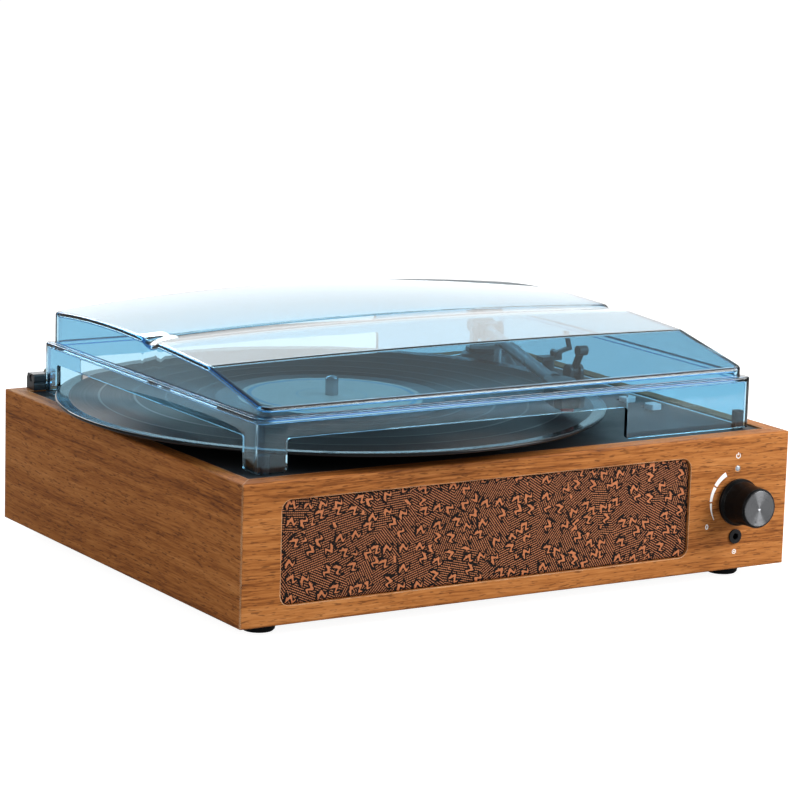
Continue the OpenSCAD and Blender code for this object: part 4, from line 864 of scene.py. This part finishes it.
def printed(name, strokes):
    """Strokes as thin raised ink on the front; places in millimetres from the cabinet's frame."""
    points, faces = [], []
    for outer, inner in strokes:
        n = len(outer)
        start = len(points)
        for depth in (0.0, -PRINT_T):
            points += [Vector((x, front_y / MM + depth, z)) * MM for x, z in outer + inner]
        for k in range(n - 1):
            a, b, c, d = start + k, start + k + 1, start + n + k + 1, start + n + k
            faces += [(a, b, c, d), (d + 2 * n, c + 2 * n, b + 2 * n, a + 2 * n)]
            faces += [(a, a + 2 * n, b + 2 * n, b), (c, c + 2 * n, d + 2 * n, d)]
        for k in (start, start + n - 1):
            faces.append((k, k + n, k + 3 * n, k + 2 * n))
    make_piece(name, mesh_of(name, points, faces), ink, "cabinet")


ink = moulding(
    "white_ink", colour(0.86, 0.86, 0.85), 0.5, 0.00002, 2600.0, 0.06, dust=0.0, bevel=0.0
)
knob_at = (knob_axis.x / MM, knob_axis.z / MM)
printed("volume_arc", [
    stroke(knob_at, 116, 146, 17.4, 2.7, 2.3), stroke(knob_at, 149, 176, 17.3, 2.1, 1.6),
    stroke(knob_at, 179, 212, 17.2, 1.4, 0.25),
])


def oval(centre, wide, tall, thick):
    """A closed ring of ink, wide by tall."""
    steps = 32
    turns = [2 * math.pi * step / steps for step in range(steps + 1)]
    return tuple(
        [(centre[0] + (wide / 2 - inset) * math.cos(a),
          centre[1] + (tall / 2 - inset) * math.sin(a)) for a in turns]
        for inset in (0, thick)
    )


nought_at = (knob_at[0] - NOUGHT_LEFT, knob_at[1] - NOUGHT_DOWN)
printed("low_end_nought", [oval(nought_at, 2.0, 3.0, 0.55)])
light_at = (light_middle.x / MM, light_middle.z / MM + LIGHT_MARK_UP)
bar = tuple(
    [(light_at[0] + half, light_at[1] + up) for up in (0.3, 1.9)] for half in (-0.25, 0.25)
)
printed("power_mark", [stroke(light_at, 125, 415, 1.3, 0.45, 0.45), bar])
socket_at = (mouth.x / MM, mouth.z / MM - SOCKET_MARK_DOWN)
printed("socket_mark", [oval(socket_at, 2.7, 2.7, 0.4), oval(socket_at, 1.0, 1.0, 0.499)])


# ---- Electronics -------------------------------------------------------------
# Two green fibre boards: one behind the front controls, one on posts on the bottom
# board with its capacitors and a black heat sink.
board = moulding("green_board", colour(0.018, 0.12, 0.055), 0.3, 0.00003, 600.0, 0.25)
dress(board, "control_board", "amplifier_board")


# ---- Back sockets ------------------------------------------------------------
# A black plate over the opening in the back, with a white and a red phono socket and
# the low-voltage power inlet.
plate = moulding("plate_black", colour(0.014, 0.014, 0.015), 0.42, 0.00003, 1500.0)
dress(plate, "jack_plate")
dress(socket_black, "power_inlet")
dress(moulding("phono_white", colour(0.78, 0.78, 0.76), 0.3, variation=0.1), "rca_socket_left")
dress(moulding("phono_red", colour(0.55, 0.02, 0.025), 0.3, variation=0.15), "rca_socket_right")


# ---- Dust cover --------------------------------------------------------------
# One clear blue injection moulding: a straight skirt with three cut-outs for the record,
# a narrow ledge, and a raised top that bends up from a low front edge, dips in a valley
# and arches toward the back. Two ears take the hinge pins.
SKIRT, WALL, LEDGE = 27.9, 2.5, 3.5
NOSE_H, CREASE_H, LIP_H, TAIL_H, ARCH_H, BACK_BOW = 4.9, 17.0, 20.0, 17.2, 7.8, 2.0
VALLEY_HALF, VALLEY_DEPTH, VALLEY_NOTCH, NOTCH_POWER = 9.0, 0.8, 2.0, 24
CREASE_SHARE, VALLEY_SHARE = 0.24, 0.51
CUT_H, CUT_R = 17.4, 2.0
LONG_SPARE, SIDE_SPARE = (8, 23.6), (6.7, 10.1)
QUARTER = [math.radians(angle) for angle in (0, 22.5, 45, 67.5, 90)]
EAR_R, EAR_T, EAR_REACH, EAR_BORE = 5.0, 4.0, 6.0, 2.08
CORNER_STEPS = 5
low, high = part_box("dust_cover")
X0, X1, Y0, Z0 = (part / MM for part in (low.x, high.x, low.y, low.z))
Y1 = high.y / MM - EAR_REACH - EAR_R
SKIRT_TOP = Z0 + SKIRT
DOME = (X0 + LEDGE, X1 - LEDGE, Y0 + LEDGE, Y1 - LEDGE)
CREASE_Y = DOME[2] + (DOME[3] - DOME[2]) * CREASE_SHARE
VALLEY_Y = DOME[2] + (DOME[3] - DOME[2]) * VALLEY_SHARE
SPINDLE = (record_centre.x / MM, record_centre.y / MM)


def side_height(y, valley):
    """Height of the raised top over the skirt at y, where the valley is so deep."""
    if y < CREASE_Y:
        return NOSE_H + (CREASE_H - NOSE_H) * (y - DOME[2]) / (CREASE_Y - DOME[2])
    if y < VALLEY_Y - VALLEY_HALF:
        share = (y - CREASE_Y) / (VALLEY_Y - VALLEY_HALF - CREASE_Y)
        return CREASE_H + (LIP_H - CREASE_H) * share
    if y < VALLEY_Y + VALLEY_HALF:
        return LIP_H - valley * (1 - ((y - VALLEY_Y) / VALLEY_HALF) ** 2)
    share = (y - VALLEY_Y - VALLEY_HALF) / (DOME[3] - VALLEY_Y - VALLEY_HALF)
    return LIP_H + (TAIL_H - LIP_H) * share + 4 * BACK_BOW * share * (1 - share)


def top_height(x, y):
    """Height of the cover's top at a place in plan, its bends eased over a millimetre."""
    u = (x - (DOME[0] + DOME[1]) / 2) / ((DOME[1] - DOME[0]) / 2)
    valley = VALLEY_DEPTH + VALLEY_NOTCH * min(1.0, abs(u)) ** NOTCH_POWER
    ease = [side_height(y + shift, valley) for shift in (-0.9, -0.45, 0.0, 0.45, 0.9)]
    arch = ARCH_H * (y - DOME[2]) / (DOME[3] - DOME[2]) * (1 - u * u)
    return SKIRT_TOP + sum(ease) / len(ease) + arch


def cut_ends(along, away, spare):
    """Ends of a cut-out in a wall this far from the spindle, clear of the record by spare."""
    half = math.sqrt(RECORD_R ** 2 - away ** 2)
    return along - half - spare[0], along + half + spare[1]


front_cut = cut_ends(SPINDLE[0], SPINDLE[1] - Y0, LONG_SPARE)
back_cut = cut_ends(SPINDLE[0], Y1 - SPINDLE[1], LONG_SPARE)
left_cut = cut_ends(SPINDLE[1], SPINDLE[0] - X0, SIDE_SPARE)


def cut_stations(cut):
    """Places along a wall that draw a cut-out's flared foot and round upper corners."""
    side = [-CUT_R + CUT_R * math.sin(a) for a in QUARTER[:-1]] + [-0.01, 0.01]
    side += [CUT_R - CUT_R * math.cos(a) for a in QUARTER[1:]]
    return [cut[0] + s for s in side] + [cut[1] - s for s in side]


def cut_top(place, cut):
    """Height of the wall's lower edge at a place along it."""
    inside = min(place - cut[0], cut[1] - place)
    if inside <= -CUT_R:
        return 0.0
    if inside < 0:
        return CUT_R - math.sqrt(CUT_R ** 2 - (inside + CUT_R) ** 2)
    if inside < CUT_R:
        return CUT_H - CUT_R + math.sqrt(CUT_R ** 2 - (CUT_R - inside) ** 2)
    return CUT_H


def spaced(stations, first, last, gap):
    """The stations in order, with more between wherever they are further apart than gap."""
    kept = sorted({round(s, 4) for s in stations if first < s < last} | {first, last})
    filled = []
    for a, b in zip(kept, kept[1:]):
        parts = max(1, math.ceil((b - a) / gap))
        filled += [a + (b - a) * k / parts for k in range(parts)]
    return filled + [last]


EDGE_BAND = 10.5
eased = (-2.0, -1.35, -0.9, -0.45, 0.0, 0.45, 0.9, 1.35, 2.0)
valley_rows = [VALLEY_Y + VALLEY_HALF * step / 9 for step in range(-9, 10)]
columns = spaced(
    cut_stations(front_cut) + cut_stations(back_cut), X0 + EDGE_BAND, X1 - EDGE_BAND, 12
)
rows = spaced(
    cut_stations(left_cut) + [CREASE_Y + shift for shift in eased] + valley_rows,
    Y0 + EDGE_BAND, Y1 - EDGE_BAND, 8,
)


def stations_with_corners(stations):
    """Each station as (part of the corner at the low end, at the high end, place between)."""
    steps = [k / CORNER_STEPS for k in range(CORNER_STEPS, 0, -1)]
    return [(s, 0, None) for s in steps] + [(0, 0, s) for s in stations] + [
        (0, s, None) for s in reversed(steps)
    ]


COLUMNS, ROWS = stations_with_corners(columns), stations_with_corners(rows)
NX, NY = len(COLUMNS), len(ROWS)


def plan_point(i, j, inset, radius):
    """Plan place of grid point i, j on an outline inset from the cover's, its corners round."""
    (left, right, x), (front, back, y) = COLUMNS[i], ROWS[j]
    a, b = left + right, front + back
    if a and b:
        reach = max(a, b)
        angle = math.pi / 4 * (b / a if a >= b else 2 - a / b)
        a, b = reach * math.cos(angle), reach * math.sin(angle)
    if x is None:
        x = X0 + inset + radius * (1 - a) if left else X1 - inset - radius * (1 - a)
    if y is None:
        y = Y0 + inset + radius * (1 - b) if front else Y1 - inset - radius * (1 - b)
    return x, y


EDGE = [(i, 0) for i in range(NX)] + [(NX - 1, j) for j in range(1, NY)]
EDGE += [(i, NY - 1) for i in range(NX - 2, -1, -1)] + [(0, j) for j in range(NY - 2, 0, -1)]


def foot_height(i, j):
    """Height of the skirt's lower edge over its foot, at a point of the outline."""
    x, y = COLUMNS[i][2], ROWS[j][2]
    if j == 0 and x is not None:
        return cut_top(x, front_cut)
    if j == NY - 1 and x is not None:
        return cut_top(x, back_cut)
    if i == 0 and y is not None:
        return cut_top(y, left_cut)
    return 0.0


def shell_side(
    skirt_inset, skirt_r, dome_inset, dome_r, drop, edge_fillet, foot_fillet, top_fillet
):
    """Rings of points up one face of the moulding, from its foot to the edge of its top,
    and that top as a grid. Each ring is (inset, corner radius, height or how it is found)."""
    ledge = SKIRT_TOP - drop
    rings = [(skirt_inset, skirt_r, foot_height)]
    for a in QUARTER:
        cut = edge_fillet * (1 - math.cos(a))
        rings.append((skirt_inset + cut, skirt_r - cut, ledge - edge_fillet * (1 - math.sin(a))))
    for a in QUARTER:
        cut = foot_fillet * (1 - math.sin(a))
        rings.append((dome_inset - cut, dome_r, ledge + foot_fillet * (1 - math.cos(a))))
    for a in QUARTER:
        cut = top_fillet * (1 - math.cos(a))
        below = drop + top_fillet * (1 - math.sin(a))
        rings.append((dome_inset + cut, dome_r - cut, -below))
    return rings, (dome_inset + top_fillet, dome_r - top_fillet, -drop)


def shell_points(rings, top):
    """The points of a face's rings and top grid, and how its faces join them."""
    points, faces = [], []
    n = len(EDGE)
    for inset, radius, height in rings:
        for i, j in EDGE:
            x, y = plan_point(i, j, inset, radius)
            if callable(height):
                z = Z0 + height(i, j)
            else:
                z = height if height > 0 else top_height(x, y) + height
            points.append(Vector((x, y, z)) * MM)
    for ring in range(len(rings) - 1):
        for k in range(n):
            a, b = ring * n + k, ring * n + (k + 1) % n
            faces.append((a, b, b + n, a + n))
    inset, radius, drop = top
    start = len(points)
    index = {}
    for i in range(NX):
        for j in range(NY):
            if (i, j) in EDGE_PLACE:
                index[i, j] = (len(rings) - 1) * n + EDGE_PLACE[i, j]
            else:
                x, y = plan_point(i, j, inset, radius)
                index[i, j] = len(points)
                points.append(Vector((x, y, top_height(x, y) + drop)) * MM)
    for i in range(NX - 1):
        for j in range(NY - 1):
            faces.append((index[i, j], index[i + 1, j], index[i + 1, j + 1], index[i, j + 1]))
    return points, faces


EDGE_PLACE = {place: k for k, place in enumerate(EDGE)}
outer, outer_faces = shell_points(*shell_side(0.0, 5.0, LEDGE, 6.0, 0.0, 0.9, 0.7, 1.5))
inner, inner_faces = shell_points(*shell_side(WALL, 2.5, LEDGE + WALL, 4.5, WALL, 0.6, 0.9, 0.8))
shift, count = len(outer), len(EDGE)
faces = outer_faces + [tuple(shift + k for k in reversed(face)) for face in inner_faces]
faces += [(k, shift + k, shift + (k + 1) % count, (k + 1) % count) for k in range(count)]

clear_blue, tree, principled = new_material("clear_blue")
spot = add(tree, "TexCoord").outputs["Object"]
flow = noise(tree, spot, 14.0, 2.0)
tint = mix_colour(tree, flow, colour(0.34, 0.60, 0.74), colour(0.41, 0.66, 0.79))
bend = add(tree, "Attribute", attribute_name="bend").outputs["Fac"]
# Painted dark refraction: where the surface bends, at the fillets and edges, the tint turns deep
# navy.
tint = mix_colour(tree, bend, tint, colour(0.008, 0.110, 0.330))
glancing = smooth_step(tree, add(tree, "LayerWeight").outputs["Facing"], 0.68, 0.82)
tint = mix_colour(tree, glancing, tint, colour(0.14, 0.20, 0.23))
scuffs = smooth_step(tree, noise(tree, spot, 420.0, 4.0, 0.7), 0.60, 0.9)
rough = calc(tree, "MULTIPLY_ADD", bend, 0.12, calc(tree, "MULTIPLY", scuffs, 0.12))
principled.inputs["Transmission Weight"].default_value = 1.0
principled.inputs["IOR"].default_value = 1.49
link_finish(tree, principled, tint, rough, noise(tree, spot, 45.0, 1.0), 0.00002)
rays = add(tree, "LightPath")
through = add(tree, "BsdfTransparent", {"Color": colour(0.76, 0.89, 0.95)})
lit = add(tree, "MixShader", {
    0: rays.outputs["Is Shadow Ray"], 1: principled.outputs[0], 2: through.outputs[0]
})
tree.links.new(lit.outputs[0], tree.nodes["Material Output"].inputs["Surface"])


def mark_bends(mesh, start, end):
    """Gives each face a value for how sharply the surface turns across it, from 0 at start
    to 1 at end, in degrees for each millimetre. Corners of more than 45 degrees don't count."""
    shape = bmesh.new()
    shape.from_mesh(mesh)
    turns = []
    for face in shape.faces:
        turned = [
            (math.degrees(edge.calc_face_angle(0.0)), edge.calc_length()) for edge in face.edges
        ]
        across = sum(angle * length for angle, length in turned if angle < 45)
        turns.append(across / (2 * max(face.calc_area(), 1e-12)) * MM)
    shape.free()
    bend = mesh.attributes.new("bend", "FLOAT", "FACE")
    bend.data.foreach_set("value", [min(1.0, max(0.0, (t - start) / (end - start))) for t in turns])


shell = mesh_of("clear_cover", outer + inner, faces, 24)
mark_bends(shell, 8.0, 35.0)
cover = make_piece("clear_cover", shell, clear_blue, "cover")
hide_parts("dust_cover")

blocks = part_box("hinge_blocks")
hinge = next(joint for joint in frame["joints"] if joint["name"] == "lid_hinge")
hinge_y, hinge_z = (part / MM for part in hinge["pos_m"][1:])
BLOCK_W, BLOCK_GAP = 9.5, 0.4
for name, x in (
    ("left_cover_ear", blocks[0].x / MM + BLOCK_W + BLOCK_GAP + EAR_T / 2),
    ("right_cover_ear", blocks[1].x / MM - BLOCK_W - BLOCK_GAP - EAR_T / 2),
):
    outline, bore = [], []
    turns = [math.radians(a) for a in range(-90, 270, 10)]
    for a in turns:
        away = EAR_R / max(abs(math.cos(a)), abs(math.sin(a))) if math.cos(a) < 0 else EAR_R
        y, z = away * math.cos(a), away * math.sin(a)
        outline.append((max(y, -EAR_REACH + 0.02), z))
        bore.append((EAR_BORE * math.cos(a), EAR_BORE * math.sin(a)))
    points, faces = [], []
    for side in (-EAR_T / 2, EAR_T / 2):
        points += [Vector((x + side, hinge_y + y, hinge_z + z)) * MM for y, z in outline + bore]
    n = len(outline)
    for k in range(n):
        m = (k + 1) % n
        faces += [(k, m, n + m, n + k), (2 * n + k, 3 * n + k, 3 * n + m, 2 * n + m)]
        faces += [(k, 2 * n + k, 2 * n + m, m), (n + k, n + m, 3 * n + m, 3 * n + k)]
    make_piece(name, mesh_of(name, points, faces), clear_blue, "cover")


# ---- Hinge blocks ------------------------------------------------------------
# Black moulded blocks screwed down on the back rim. A steel pin in each carries an ear
# of the cover.
dress(arm_black, "hinge_blocks")
